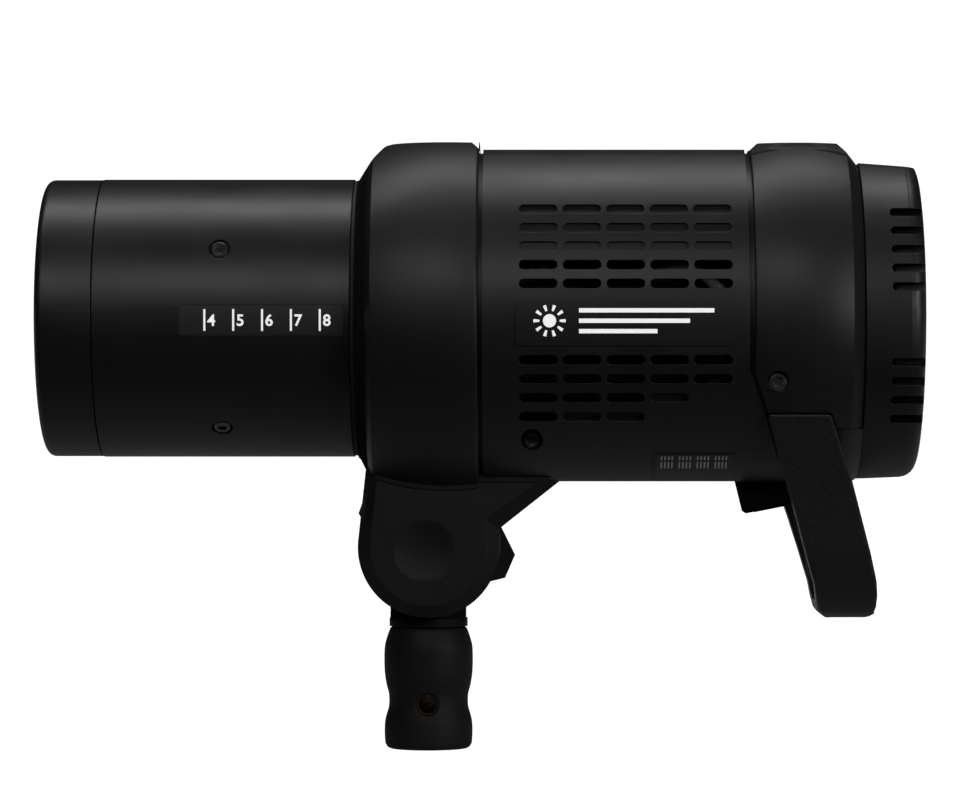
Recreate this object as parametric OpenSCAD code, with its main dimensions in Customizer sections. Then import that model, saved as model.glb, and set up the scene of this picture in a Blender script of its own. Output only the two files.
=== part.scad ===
// Monolight studio strobe on a tilting stand bracket.
// Origin: centre of the mouth of the stand socket. +Z is up, the light fires towards -X,
// the control panel faces +X, and the left side of the head is towards -Y.
// Heights inside on_axis() are measured from the optical axis. Millimetres.

/* [Stand joint] */
// Height of the tilt pivot above the mouth of the stand socket
pivot_h = 73; // [72:1:80]
// Height of the optical axis above the tilt pivot
axis_rise = 82; // [82:0.5:85]
// Radius of the stand spigot bore
spigot_r = 8.05; // [8.02:0.01:8.1]
// Largest radius of the stand socket
socket_r = 15.95; // [15.5:0.05:16.5]
// Radius of the round ears of the bracket
ear_r = 25.2; // [24.5:0.1:25.2]

/* [Front tube] */
// Outer radius of the front tube, the size reflectors clamp on
tube_r = 50; // [49.8:0.1:50]
// Wall of the front tube
tube_wall = 2.5; // [2:0.25:2.5]
// Distance of the front face ahead of the stand axis
front_reach = 137; // [135:1:150]
// Length of the front ring
ring_len = 20.5; // [18:0.5:22]

/* [Body] */
// Largest radius of the front collar
collar_r = 65; // [64.6:0.1:66]
// Largest radius of the rear collar
rear_collar_r = 64.8; // [64.4:0.1:66]
// Radius of the vented middle housing
housing_r = 62.3; // [62.1:0.1:62.5]
// Wall of the housing
housing_wall = 3; // [2.5:0.1:3]
// Height of the flat strip along the top of the housing
housing_top = 59.7; // [59.2:0.1:59.8]
// Depth of the flat strip along the bottom of the housing
housing_bottom = 58.5; // [58.3:0.1:58.7]
// Rear end of the rear cap
rear_x = 175; // [175:0.5:178]
// Radius of the rear cap where it meets the rear collar
cap_r = 58; // [57:0.1:58]

/* [Vents] */
// Length of one vent slot
slot_len = 13.4; // [10:0.1:13.5]
// Height of one vent slot
slot_h = 3.25; // [2.5:0.05:3.6]
// Distance between two columns of slots
slot_pitch = 15.2; // [15:0.02:15.4]
// Distance between two rows of slots
row_pitch = 6.56; // [6.4:0.02:6.7]
// Depth of a slot that is only a recess
blind_depth = 1; // [0.8:0.1:1.8]

/* [Handle] */
// Thickness of the handle strap
strap_t = 8; // [7:0.25:8]
// Gap between the handle and its pocket
pocket_gap = 0.3; // [0.2:0.05:0.4]

/* [Controls] */
// Radius of the control dial
dial_r = 13; // [10:0.5:14]
// Travel of a push button
button_travel = 0.8; // [0.5:0.1:1]
// Tilt of the power rocker at rest
rocker_tilt = 7; // [5:0.5:8]

/* [Hidden] */
$fn = 64;

axis_h = pivot_h + axis_rise;
big = 200;

// front tube
front_x = -front_reach;
seam_x = front_x + ring_len;
tube_in = tube_r - tube_wall;
tube_end = 16;
tail_x = -26.5;
tail_r = tube_r - 1;
glass_x = front_x + 5;
glass_t = 5;
scale_x = -85.8;
scale_len = 57.5;
scale_h = 10.3;
scale_z = -1.6;
scale_depth = 0.4;
tube_screw_x = -72.2;
tube_screw_angles = [28, 152, 232, 308];

// case screws and cap screws
head_r = 3.3;
head_gap = 0.5;
head_t = 1.2;
head_edge = 0.6;
shaft_r = 1.5;
shaft_len = 7;
cap_head_r = 3.5;
cap_head_t = 3;
cap_shaft_r = 2;
cap_shaft_len = 11;

// collars and housing along the axis
collar_x = [-25, 18.5];
collar_peak_x = 7;
collar_arc = 86;
pad_half = 20;
pad_side = 25.5;
pad_drop = 2.8;
pad_top = 62.5;
spigot_out = 60.4;
spigot_in = 57.9;
collar_seat = spigot_out + 0.06;
housing_x = [20, 113];
groove_r = 59.4;
rear_collar_x = [114.9, 153.6];
rear_peak_x = 131.5;
rear_arc = 68;
rear_pad_top = 62.2;
collar_foot = -39.5;
base_front = 80;
base_line = -47.3;
base_corner = 120.4;
seam_gap = 0.1;

// vents: left end of the first column, height of the top row of each block
slot_x = 32.9;
upper_row_z = 37.1;
lower_row_z = -15.6;
plate_x = 69.6;
plate_z = -2.1;
plate_size = [75.6, 17.25];

// cap, control panel
cap_x = 153.8;
panel_x = 166;
panel_t = 2.5;
panel_r = 51;
panel_face = panel_x + panel_t;
dial_z = -12;
window_z = 20;
rocker_z = -38;
rocker_x = panel_x + 1;
rocker_r = 10;
rocker_w = 11;
photo_z = 42;
sync_y = -35;
sync_z = 17;
sync_bore = 1.8;
button_r = 4.5;
button_spots = [[-30, -4], [-26, -22], [30, -4], [26, -22]];
board_x = 158;

// bracket and stand parts, heights from the axis where they ride on the head
slot_half = 9.3;
ear_half = 25;
ear_shift = 0.5;
bevel = 4.5;
roof_z = -axis_rise + 14;
umbrella_y = 16;
umbrella_z = -69.5;
umbrella_bore = 4.25;
umbrella_r = 5.3;
umbrella_screw_x = -14;
bolt_r = 5;
nut_r = 13 / 2 / cos(30);
lock_z = 16.5;

// colours
satin_black = [0.06, 0.06, 0.065];
deep_black = [0.03, 0.03, 0.03];
soft_black = [0.1, 0.1, 0.1];
steel = [0.6, 0.6, 0.62];
alloy = [0.72, 0.73, 0.75];
brass_tone = [0.72, 0.55, 0.25];
ceramic_tone = [0.9, 0.88, 0.82];
glass_tone = [0.85, 0.9, 0.95, 0.4];
board_green = [0.05, 0.25, 0.15];
copper_tone = [0.7, 0.35, 0.18];

// ---------- helpers ----------
module on_axis() {
  translate([0, 0, axis_h]) children();
}

module at_pivot() {
  translate([0, 0, pivot_h]) children();
}

// turned part about the optical axis, points are [x, radius]
module turn_x(points) {
  rotate([0, 90, 0]) rotate_extrude() polygon([for (p = points) [p[1], p[0]]]);
}

// section in Y and Z drawn out along X
module prism_x(x0, x1) {
  translate([x0, 0, 0]) rotate([90, 0, 90]) linear_extrude(x1 - x0) children();
}

// section in X and Z drawn out along Y
module prism_y(y0, y1) {
  translate([0, y1, 0]) rotate([90, 0, 0]) linear_extrude(y1 - y0) children();
}

module rod_x(r, x0, x1, y = 0, z = 0) {
  translate([x0, y, z]) rotate([0, 90, 0]) cylinder(r = r, h = x1 - x0);
}

module rod_y(r, y0, y1, x = 0, z = 0) {
  translate([x, y0, z]) rotate([-90, 0, 0]) cylinder(r = r, h = y1 - y0);
}

// box from its low corner to its high corner
module block(low, high) {
  translate(low) cube(high - low);
}

module both_sides() {
  children();
  mirror([0, 1, 0]) children();
}

// slot with round ends, lying along the first axis
module stadium(len, h) {
  square([len - h, h], center = true);
  for (s = [-1, 1]) translate([s * (len - h) / 2, 0]) circle(h / 2);
}

module round_rect(size, r) {
  square([size[0] - 2 * r, size[1]], center = true);
  square([size[0], size[1] - 2 * r], center = true);
  for (sx = [-1, 1], sy = [-1, 1]) {
    translate([sx * (size[0] / 2 - r), sy * (size[1] / 2 - r)]) circle(r);
  }
}

// smooth curve through a list of points
function curve_point(p, i, t) =
  let (a = p[max(i - 1, 0)], b = p[i], c = p[i + 1], d = p[min(i + 2, len(p) - 1)])
  0.5 * (2 * b + t * (c - a) + t * t * (2 * a - 5 * b + 4 * c - d)
         + t * t * t * (3 * b - a - 3 * c + d));
function curve(p, steps) =
  concat([for (i = [0 : len(p) - 2], k = [0 : steps - 1]) curve_point(p, i, k / steps)],
         [p[len(p) - 1]]);
function flip_x(p) = [for (i = [len(p) - 1 : -1 : 0]) [-p[i][0], p[i][1]]];

// circle with a raised flat strip on top and a flat underside
module capped_circle(r, top, bottom) {
  intersection() {
    union() {
      circle(r);
      polygon([[0, 0], [-pad_side, top - pad_drop], [-pad_half, top],
               [pad_half, top], [pad_side, top - pad_drop]]);
    }
    translate([-big / 2, -bottom]) square([big, top + bottom]);
  }
}

// low-head case screw, top of the head at the origin, shaft towards -Z
module case_screw() {
  difference() {
    union() {
      rotate_extrude() {
        polygon([[0, -head_t], [head_r, -head_t], [head_r, -head_edge], [head_r - head_edge, 0],
                 [0, 0]]);
      }
      translate([0, 0, -head_t - shaft_len]) cylinder(r = shaft_r, h = shaft_len + 0.5);
    }
    translate([0, 0, -0.9]) cylinder(r = 1.9, h = 1, $fn = 6);
  }
}

// cap screw, underside of the head at the origin, shaft towards -Z
module cap_screw() {
  difference() {
    union() {
      cylinder(r = cap_head_r, h = cap_head_t);
      translate([0, 0, -cap_shaft_len]) cylinder(r = cap_shaft_r, h = cap_shaft_len + 0.5);
    }
    translate([0, 0, 1.2]) cylinder(r = 1.75, h = cap_head_t, $fn = 6);
  }
}

// turns +Z to point outwards from the axis at an angle above the left side
module radial(angle) {
  rotate([90 - angle, 0, 0]) children();
}

// ---------- front end ----------
module front_ring() {
  color(satin_black) on_axis() {
    edge = 3;
    ring_r = tube_r - 0.2;
    seam = 0.5;
    bore = tube_in - 1.5;
    difference() {
      rotate([0, 90, 0]) rotate_extrude() difference() {
        union() {
          translate([0, front_x + edge]) square([ring_r, ring_len - edge - seam]);
          translate([0, front_x]) square([ring_r - edge, ring_len - seam]);
          translate([ring_r - edge, front_x + edge]) circle(edge);
          translate([0, seam_x - 1]) square([tube_in - 0.15, 7]);
        }
        translate([0, glass_x]) square([bore, big]);
        translate([0, front_x - 1]) square([bore - 2, big]);
      }
    }
  }
}

module front_glass() {
  color(glass_tone) on_axis() {
    rod_x(tube_in - 1.7, glass_x + 0.05, glass_x + glass_t);
  }
}

module glass_retainer() {
  color(steel) on_axis() {
    outer = tube_in - 1.6;
    x = glass_x + glass_t + 0.1;
    difference() {
      turn_x([[x, outer - 2.4], [x, outer], [x + 1.5, outer], [x + 1.5, outer - 2.4]]);
      block([x - 1, -3, -big], [x + 3, 3, 0]);
    }
  }
}

module barrel() {
  color(satin_black) on_axis() {
    difference() {
      union() {
        rod_x(tube_r, seam_x, tail_x);
        rod_x(tail_r, seam_x, tube_end);
      }
      rod_x(tube_in, seam_x - 1, tube_end + 1);
      scale_pocket(tube_r - scale_depth, 0);
      for (a = tube_screw_angles) translate([tube_screw_x, 0, 0]) radial(a) {
        translate([0, 0, tube_r - 1.4]) cylinder(r = head_r + head_gap, h = 5);
        cylinder(r = shaft_r + 0.1, h = big);
      }
    }
  }
}

// room for the inlaid scale on the left side of the tube, outside a radius
module scale_pocket(r, gap) {
  difference() {
    translate([0, 0, scale_z]) prism_y(-tube_r - 1, -tube_r / 2) {
      translate([scale_x + scale_len / 2, 0])
        round_rect([scale_len - 2 * gap, scale_h - 2 * gap], 0.8);
    }
    rod_x(r, scale_x - 1, scale_x + scale_len + 1);
  }
}

module barrel_scale() {
  color(deep_black) on_axis() {
    intersection() {
      scale_pocket(tube_r - scale_depth + 0.02, 0.05);
      rod_x(tube_r - 0.05, scale_x - 1, scale_x + scale_len + 1);
    }
  }
}

// left and right seats of the case screws in the housing and the rear collar
housing_screw = [37.4, -43.5];
housing_screw_seat = 39.2;
rear_screw = [122.9, -23.2];
rear_screw_seat = 58.4;

module at_side_screw(spot, seat) {
  both_sides() translate([spot[0], -seat, spot[1]]) rotate([90, 0, 0]) children();
}

module case_screws() {
  color(deep_black) on_axis() {
    for (a = tube_screw_angles) translate([tube_screw_x, 0, 0]) radial(a) {
      translate([0, 0, tube_r - 1.35 + head_t]) case_screw();
    }
    at_side_screw(housing_screw, housing_screw_seat) {
      translate([0, 0, head_t + 0.05]) case_screw();
    }
    at_side_screw(rear_screw, rear_screw_seat) {
      translate([0, 0, head_t + 0.05]) case_screw();
    }
  }
}

// ---------- lamp unit ----------
lamp_plate_x = -79;
socket_x = lamp_plate_x - 11.1;
electrode_y = 20;

module reflector() {
  color(alloy) on_axis() {
    neck = 27.5;
    depth = abs(glass_x + glass_t + 3 - (lamp_plate_x - 1));
    rise = tube_in - 3 - neck;
    wall = [for (i = [0 : 12])
      let (t = i / 12) [lamp_plate_x - 1 - depth * t, neck + rise * pow(t, 0.6)]];
    back = [for (i = [12 : -1 : 0]) [wall[i][0], wall[i][1] + 1]];
    turn_x(concat(wall, back));
  }
}

module lamp_plate() {
  color(alloy) on_axis() {
    rim = tube_in - 0.1;
    difference() {
      turn_x([[lamp_plate_x, 0], [lamp_plate_x, rim], [lamp_plate_x + 13, rim],
              [lamp_plate_x + 13, rim - 3.4], [lamp_plate_x + 4, rim - 3.4],
              [lamp_plate_x + 4, 0]]);
      for (s = [-1, 1]) rod_x(4.2, lamp_plate_x - 1, lamp_plate_x + 5, s * electrode_y, 0);
      for (a = tube_screw_angles) translate([tube_screw_x, 0, 0]) radial(a) {
        cylinder(r = shaft_r + 0.06, h = big);
      }
    }
  }
}

module tube_socket() {
  color(ceramic_tone) on_axis() {
    difference() {
      rod_x(26.5, socket_x, lamp_plate_x - 0.1);
      for (s = [-1, 1]) rod_x(4.2, socket_x - 1, lamp_plate_x, s * electrode_y, 0);
    }
  }
}

// round flash tube: a glass ring with two legs that plug into the ceramic socket
module flash_tube() {
  color(glass_tone) on_axis() {
    ring_x = -104;
    glass_r = 4;
    leg_r = 3.4;
    difference() {
      union() {
        translate([ring_x, 0, 0]) rotate([0, 90, 0]) rotate_extrude() {
          translate([electrode_y, 0]) circle(glass_r);
        }
        for (s = [-1, 1]) rod_x(leg_r, ring_x, lamp_plate_x - 2, s * electrode_y, 0);
      }
      block([ring_x - 5, -4, 0], [ring_x + 5, 4, big]);
    }
  }
}

module lamp_holder() {
  color(ceramic_tone) on_axis() {
    rod_x(9, socket_x - 6, socket_x - 0.1);
  }
}

module modeling_lamp() {
  color(glass_tone) on_axis() {
    r = 6.5;
    tip = -117;
    rod_x(r, tip + r, socket_x - 6.1);
    translate([tip + r, 0, 0]) sphere(r);
  }
}

module trigger_coil() {
  color(copper_tone) on_axis() {
    difference() {
      rod_x(12, lamp_plate_x + 13, lamp_plate_x + 37);
      rod_x(3, lamp_plate_x + 12, lamp_plate_x + 38);
    }
  }
}

module heat_shield() {
  color(alloy) on_axis() {
    difference() {
      rod_x(tube_in - 0.2, -40, -38.8);
      for (a = [0 : 45 : 315]) rotate([a, 0, 0]) rod_x(5, -41, -38, 0, 30);
    }
  }
}

// ---------- front collar ----------
// crowned ring profile turned about the axis, outline points are [x, radius]
module crowned(peak_x, peak_r, arc, outline) {
  rotate([0, 90, 0]) rotate_extrude() intersection() {
    translate([peak_r - arc, peak_x]) circle(arc, $fn = 360);
    polygon([for (p = outline) [p[1], p[0]]]);
  }
}

module collar_crown(grow) {
  crowned(collar_peak_x, collar_r + grow, collar_arc + grow,
          [[collar_x[0], 0], [collar_x[0], 50.5 + grow], [-24.3, 51.1 + grow],
           [-20.3, 59.2 + grow], [-19.6, 60.2 + grow], [-10, 74], [17.7, 74],
           [17.7, 64.4 + grow], [collar_x[1], 63.6 + grow], [collar_x[1], 0]]);
}

// raised flat on top of a collar: side outline in X and Z, cut to the crown
module top_pad(outline, top) {
  intersection() {
    prism_y(-pad_side, pad_side) polygon(outline);
    prism_x(-big, big) polygon([[-pad_side, 40], [-pad_side, top - pad_drop], [-pad_half, top],
                                [pad_half, top], [pad_side, top - pad_drop], [pad_side, 40]]);
    children();
  }
}

gasket_r = 49.6;
front_pad_line = [[-24.7, 49], [-14.5, pad_top], [15.9, pad_top], [18.4, 60]];

module front_collar() {
  color(satin_black) on_axis() {
    bore = tail_r + 0.05;
    seat = -57;
    difference() {
      union() {
        difference() {
          collar_crown(0);
          prism_y(-pad_side, pad_side) {
            polygon(concat(front_pad_line, [[18.4, 80], [-26, 80], [-26, 47]]));
          }
        }
        top_pad(concat(front_pad_line, [[18.4, 52], [-23, 52]]), pad_top) collar_crown(0.65);
      }
      turn_x([[-26, 0], [-26, bore], [-19, bore], [-19, 52.5],
              [-14.5, 57.3], [6, 57.3], [6, collar_seat], [19, collar_seat], [19, 0]]);
      for (s = [-1, 1]) translate([-8, s * 6.5, 0]) {
        translate([0, 0, seat]) cylinder(r = cap_head_r + 0.3, h = 10);
        translate([0, 0, -80]) cylinder(r = cap_shaft_r + 0.1, h = 40);
      }
    }
  }
}

module collar_gasket() {
  color(deep_black) on_axis() {
    front = tail_x + 0.1;
    back = collar_x[0] - 0.05;
    turn_x([[front, tail_r + 0.03], [front, gasket_r - 0.4], [front + 0.4, gasket_r],
            [back, gasket_r], [back, tail_r + 0.03]]);
  }
}

// ---------- housing ----------
housing_side = [[housing_x[0], 70], [housing_x[1], 70], [housing_x[1], -19], [118.9, -34.2],
                [base_corner - 0.02, collar_foot], [base_corner - 0.02, base_line + 0.1],
                [base_front - 0.1, base_line + 0.1],
                [base_front - 0.1, -70], [housing_x[0], -70]];

// slots of one side: rows that open into the housing, or rows that are only recesses
module vent_rows(z, rows) {
  for (r = [0 : len(rows) - 1], c = rows[r]) {
    translate([slot_x + slot_len / 2 + c * slot_pitch, z - r * row_pitch]) {
      stadium(slot_len, slot_h);
    }
  }
}

all_columns = [0, 1, 2, 3, 4];
open_upper = [[], [], [], all_columns, all_columns];
blind_upper = [all_columns, all_columns, all_columns];
open_lower = [all_columns, all_columns, [0, 1, 2], [0]];
blind_lower = [[], [], [3], [1, 2]];

module vents() {
  prism_y(-big / 2, big / 2) {
    vent_rows(upper_row_z, open_upper);
    vent_rows(lower_row_z, open_lower);
  }
  difference() {
    prism_y(-big / 2, big / 2) vent_rows(upper_row_z, blind_upper);
    rod_x(housing_r - blind_depth, 0, big);
  }
  // the closed slots of the lower rows are deeper
  difference() {
    prism_y(-big / 2, big / 2) vent_rows(lower_row_z, blind_lower);
    rod_x(housing_r - min(blind_depth + 0.8, housing_wall - 0.6), 0, big);
  }
}

module housing_shell() {
  spigot_end = 149.7;
  ledge = 2.5;
  intersection() {
    difference() {
      prism_x(housing_x[0], base_corner + 1) {
        capped_circle(housing_r, housing_top, housing_bottom);
      }
      prism_x(housing_x[0] - 1, base_corner + 2) {
        capped_circle(housing_r - housing_wall, housing_top - housing_wall,
                      housing_bottom - housing_wall);
      }
    }
    prism_y(-big / 2, big / 2) polygon(housing_side);
  }
  // inner ledges that carry the two spigots
  intersection() {
    prism_x(housing_x[0], housing_x[1]) {
      capped_circle(housing_r - 0.5, housing_top - 0.5, housing_bottom - 0.5);
    }
    for (x = [housing_x[0], housing_x[1] - ledge]) difference() {
      rod_x(61, x, x + ledge);
      rod_x(spigot_in, x - 1, x + ledge + 1);
    }
    prism_y(-big / 2, big / 2) polygon(housing_side);
  }
  // spigots that slide into the two collars
  difference() {
    union() {
      rod_x(spigot_out, 6.1, housing_x[0]);
      rod_x(spigot_out, housing_x[1], spigot_end);
    }
    rod_x(spigot_in, 0, big);
    block([housing_x[1] - 1, -big, -big], [big, big, collar_foot + 0.2]);
    // deep shadow grooves in front of the two collars' edges
    for (x = [[collar_x[1] - 0.3, housing_x[0]], [housing_x[1], rear_collar_x[0] + 0.3]]) {
      turn_x([[x[0], groove_r], [x[0], 70], [x[1], 70], [x[1], groove_r]]);
    }
  }
}

module screw_boss_at(spot, seat, depth) {
  both_sides() rod_y(5.2, -seat - 4, -seat + depth, spot[0], spot[1]);
}

// one half of the middle housing, side is -1 for left and 1 for right
module housing_half(side) {
  boss_in = 5.2;
  difference() {
    union() {
      housing_shell();
      intersection() {
        union() {
          screw_boss_at(housing_screw, housing_screw_seat, boss_in);
          screw_boss_at(rear_screw, 55, 5);
        }
        union() {
          rod_x(housing_r - 0.3, 25, 60);
          rod_x(spigot_out, housing_x[1], 150);
        }
      }
    }
    vents();
    // tight to the handle outside, with room for its pocket walls inside
    handle_envelope(pocket_gap + 0.1);
    intersection() {
      handle_envelope(pocket_gap + 2.4);
      rod_x(spigot_in, 100, 160);
    }
    at_side_screw(housing_screw, housing_screw_seat) {
      cylinder(r = head_r + head_gap, h = 30);
      translate([0, 0, -20]) cylinder(r = shaft_r + 0.1, h = 30);
    }
    at_side_screw(rear_screw, rear_screw_seat) {
      translate([0, 0, -20]) cylinder(r = shaft_r + 0.06, h = 30);
    }
    for (s = [-1, 1]) translate([34, s * 6.5, -80]) cylinder(r = cap_shaft_r + 0.1, h = 30);
    block([-big, side > 0 ? -big : -seam_gap / 2, -big], [big, side > 0 ? seam_gap / 2 : big, big]);
  }
}

module housing_left() {
  color(satin_black) on_axis() housing_half(-1);
}

module housing_right() {
  color(satin_black) on_axis() housing_half(1);
}

module name_plates() {
  color(soft_black) on_axis() {
    intersection() {
      difference() {
        rod_x(housing_r + 0.45, 20, 120);
        rod_x(housing_r + 0.02, 19, 121);
      }
      both_sides() translate([0, 0, plate_z]) prism_y(-big / 2, -30) {
        translate([plate_x, 0]) round_rect(plate_size, 2);
      }
    }
  }
}

module rating_label() {
  color(soft_black) on_axis() {
    intersection() {
      difference() {
        rod_x(housing_r + 0.27, 70, 120);
        rod_x(housing_r + 0.02, 69, 121);
      }
      block([80.8, -60, -housing_bottom + 0.1], [108.8, 0, -48.7]);
    }
  }
}

// ---------- rear base, rear collar, rear cap ----------
shroud_half = 17;
shroud_line = [[111, -56], [111, -58.2], [113.9, -70.1], [128.5, -67.2], [146, -63.7],
               [146, -56]];
shroud_edge = 2.5;
shroud_slope = atan2(2.9, 14.6);
base_r = housing_r;
base_end = 153.7;
cap_spigot_r = 55.3;
inlet_x = 126.5;
inlet_z = -67.6;
handle_screw = [132.5, -44.6];
handle_seat = 36.2;

module at_inlet() {
  translate([inlet_x, 0, inlet_z]) rotate([0, -shroud_slope, 0]) children();
}

module rear_base() {
  color(satin_black) on_axis() {
    difference() {
      union() {
        // front part, flush with the housing
        intersection() {
          prism_x(base_front, base_corner) {
            capped_circle(housing_r, housing_top, housing_bottom);
          }
          block([base_front, -big, -big], [base_corner, big, base_line]);
        }
        // rear part around the handle
        intersection() {
          prism_x(base_corner - 0.01, base_end) {
            capped_circle(base_r, housing_top, housing_bottom);
          }
          turn_x([[100, 0], [100, base_r], [146, base_r], [148.6, base_r - 0.8],
                  [151, base_r - 2.2], [base_end, cap_r], [base_end, 0]]);
          block([0, -big, -big], [big, big, collar_foot - 0.1]);
        }
        // pocket walls of the handle
        intersection() {
          handle_envelope(pocket_gap + 2.2);
          rod_x(spigot_in - 0.1, 100, 152.8);
          block([0, -big, -big], [big, big, -30]);
        }
        both_sides() rod_y(4.9, -44, -handle_seat, handle_screw[0], handle_screw[1]);
        intersection() {
          prism_y(-shroud_half, shroud_half) polygon(shroud_line);
          at_inlet() prism_x(-20, 30) {
            translate([0, 12]) round_rect([2 * shroud_half, 24], shroud_edge);
          }
        }
      }
      // hollow inside, kept clear of the pocket walls and the screw bosses
      difference() {
        union() {
          prism_x(base_front - 1, 151) {
            capped_circle(housing_r - housing_wall - 1, housing_top - housing_wall,
                          housing_bottom - housing_wall);
          }
          prism_x(150, 160) {
            capped_circle(cap_spigot_r + 0.2, housing_top - housing_wall,
                          housing_bottom - housing_wall);
          }
        }
        handle_envelope(pocket_gap + 2.2);
        both_sides() rod_y(4.9, -44, -handle_seat, handle_screw[0], handle_screw[1]);
      }
      handle_envelope(pocket_gap);
      both_sides() {
        rod_y(cap_shaft_r + 0.1, -60, -30, handle_screw[0], handle_screw[1]);
        rod_y(cap_head_r + 0.25, -handle_seat, -20, handle_screw[0], handle_screw[1]);
      }
      at_inlet() block([-10, -13.7, -10], [10, 13.7, 18]);
    }
  }
}

rear_pad_line = [[114.6, 59.2], [117.8, rear_pad_top], [146.3, rear_pad_top], [153.7, 52.7]];

module rear_crown(grow) {
  crowned(rear_peak_x, rear_collar_r + grow, rear_arc + grow,
          [[rear_collar_x[0], 0], [rear_collar_x[0], 62.4 + grow], [115.5, 63.1 + grow],
           [116.4, 74], [149.2, 74], [149.2, 62.4 + grow], [rear_collar_x[1], 57 + grow],
           [rear_collar_x[1], 0]]);
}

module rear_collar() {
  color(satin_black) on_axis() {
    difference() {
      union() {
        difference() {
          rear_crown(0);
          prism_y(-pad_side, pad_side) {
            polygon(concat(rear_pad_line, [[154.5, 52.7], [154.5, 80], [114.6, 80]]));
          }
        }
        top_pad(concat(rear_pad_line, [[153.7, 50], [114.6, 50]]), rear_pad_top) rear_crown(0.65);
      }
      // seat on the housing spigot, then a lip that holds the rear cap
      turn_x([[110, 0], [110, collar_seat], [149.8, collar_seat], [153.1, 56.9], [153.1, 0]]);
      rod_x(55.9, 150, 160);
      // lower edge: a slant in front, then level behind the handle
      prism_y(-big / 2, big / 2) {
        polygon([[100, -20], [rear_collar_x[0], -20], [119.9, -34.2], [121.6, collar_foot],
                 [160, collar_foot], [160, -80], [100, -80]]);
      }
      handle_envelope(pocket_gap + 0.1);
      at_side_screw(rear_screw, rear_screw_seat) {
        cylinder(r = head_r + head_gap, h = 30);
        translate([0, 0, -20]) cylinder(r = shaft_r + 0.1, h = 30);
      }
    }
  }
}

module rear_cap() {
  color(satin_black) on_axis() {
    edge_x = 170;
    nose = 5.2;
    louvre_pitch = 6.59;
    louvre_h = 2.8;
    louvre_x = 162.8;
    louvre_floor = panel_r + 1.4;
    cavity_x = 164.5;
    cavity_r = 54.5;
    rows = [0, 1, 2, 3, 4, 8, 9, 10, 11];
    difference() {
      intersection() {
        rotate([0, 90, 0]) rotate_extrude() {
          polygon([[0, 151.3], [cap_spigot_r, 151.3], [cap_spigot_r, cap_x], [cap_r, cap_x],
                   [cap_r - 0.7, edge_x], [cap_r - 0.8, rear_x - nose],
                   for (a = [15 : 15 : 90]) [cap_r - 0.8 - nose * (1 - cos(a)),
                                             rear_x - nose + nose * sin(a)],
                   [0, rear_x]]);
        }
        prism_y(-big / 2, big / 2) {
          polygon([[150, 55.3], [177, 53.1], [177, -57.8], [150, -57.8]]);
        }
      }
      intersection() {
        turn_x([[150, 0], [150, 53.2], [cap_x + 1, 53.2], [cap_x + 1, cavity_r],
                [cavity_x, cavity_r], [cavity_x, 48.2], [panel_x - 0.05, 48.2],
                [panel_x - 0.05, panel_r + 0.2], [rear_x + 1, panel_r + 0.2], [rear_x + 1, 0]]);
        block([100, -big, -54.6], [200, big, 51.6]);
      }
      // louvres, cut down to a floor and open into the cavity at their front ends
      difference() {
        for (n = rows) translate([0, 0, 36.3 - n * louvre_pitch]) {
          for (side = [[-60, -30], [30, 60]]) prism_y(side[0], side[1]) {
            translate([louvre_x + louvre_h / 2, 0]) circle(louvre_h / 2);
            translate([louvre_x + louvre_h / 2, -louvre_h / 2]) square([20, louvre_h]);
          }
        }
        rod_x(louvre_floor, 150, 180);
      }
    }
  }
}

// ---------- handle ----------
// outline seen from the side
strap_side = [[119.3, -34.5], [141.6, -34.5], [150.2, -58.6], [154, -71.4], [157.8, -84.3],
              [160, -94], [160.5, -99.4], [160.3, -103.6], [159.6, -106.4], [158, -108],
              [143.8, -108], [141.2, -106.9], [139.6, -104.6], [138.7, -100.5], [137.9, -95.4],
              [131.4, -72.9], [126.7, -57.9]];
// outer edge of the strap seen from behind, from the top end to the foot
strap_edge = [[60.2, -28], [56.6, -34], [52.2, -41], [45.9, -51.5], [38.4, -64], [31.6, -75.5],
              [26.6, -84], [25.2, -89], [24.2, -93], [20.2, -100.5], [12.8, -106.6], [0, -108]];
// points past the top ends that leave the strap open between its legs
strap_opening = [75, -1];

module strap_section(grow) {
  edge = curve(strap_edge, 4);
  outline = concat(edge, flip_x(edge));
  difference() {
    offset(delta = grow) polygon(outline);
    offset(delta = -strap_t - grow) {
      polygon(concat([strap_opening], outline, flip_x([strap_opening])));
    }
  }
}

module handle_envelope(grow) {
  intersection() {
    prism_y(-big / 2, big / 2) offset(delta = grow) polygon(strap_side);
    prism_x(100, 180) strap_section(grow);
  }
}

module handle() {
  color(satin_black) on_axis() {
    difference() {
      handle_envelope(0);
      both_sides() rod_y(cap_shaft_r + 0.03, -cap_shaft_len - handle_seat - 0.2, -30,
                         handle_screw[0], handle_screw[1]);
    }
  }
}

// ---------- bracket ----------
module ear_outline(inset) {
  translate([ear_shift, -axis_rise]) circle(ear_r - inset);
  polygon([[-21.4 + inset, -50], [-21.4 + inset, -57], [-22.2 + inset, -64],
           [-24 + inset, -77], [0, -axis_rise], [25.5 - inset, -79], [25.2 - inset, -75.9],
           [24.4 - inset, -50]]);
}

module gusset_outline(inset) {
  lower = inset * 1.3;
  polygon([[15, -50], [48.8 - lower, -50], [48.8 - lower, -57.2 + lower * 0.2],
           [25.1 - inset, -75.9 + lower * 0.9], [15, -75.9]]);
}

// full thickness up to the bevel, then narrowing to the outer face
module bevelled_slab(inner, outer) {
  prism_y(inner, outer - bevel) children(0);
  hull() {
    prism_y(outer - bevel - 0.1, outer - bevel) children(0);
    prism_y(outer - 0.01, outer) children(1);
  }
}

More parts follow.
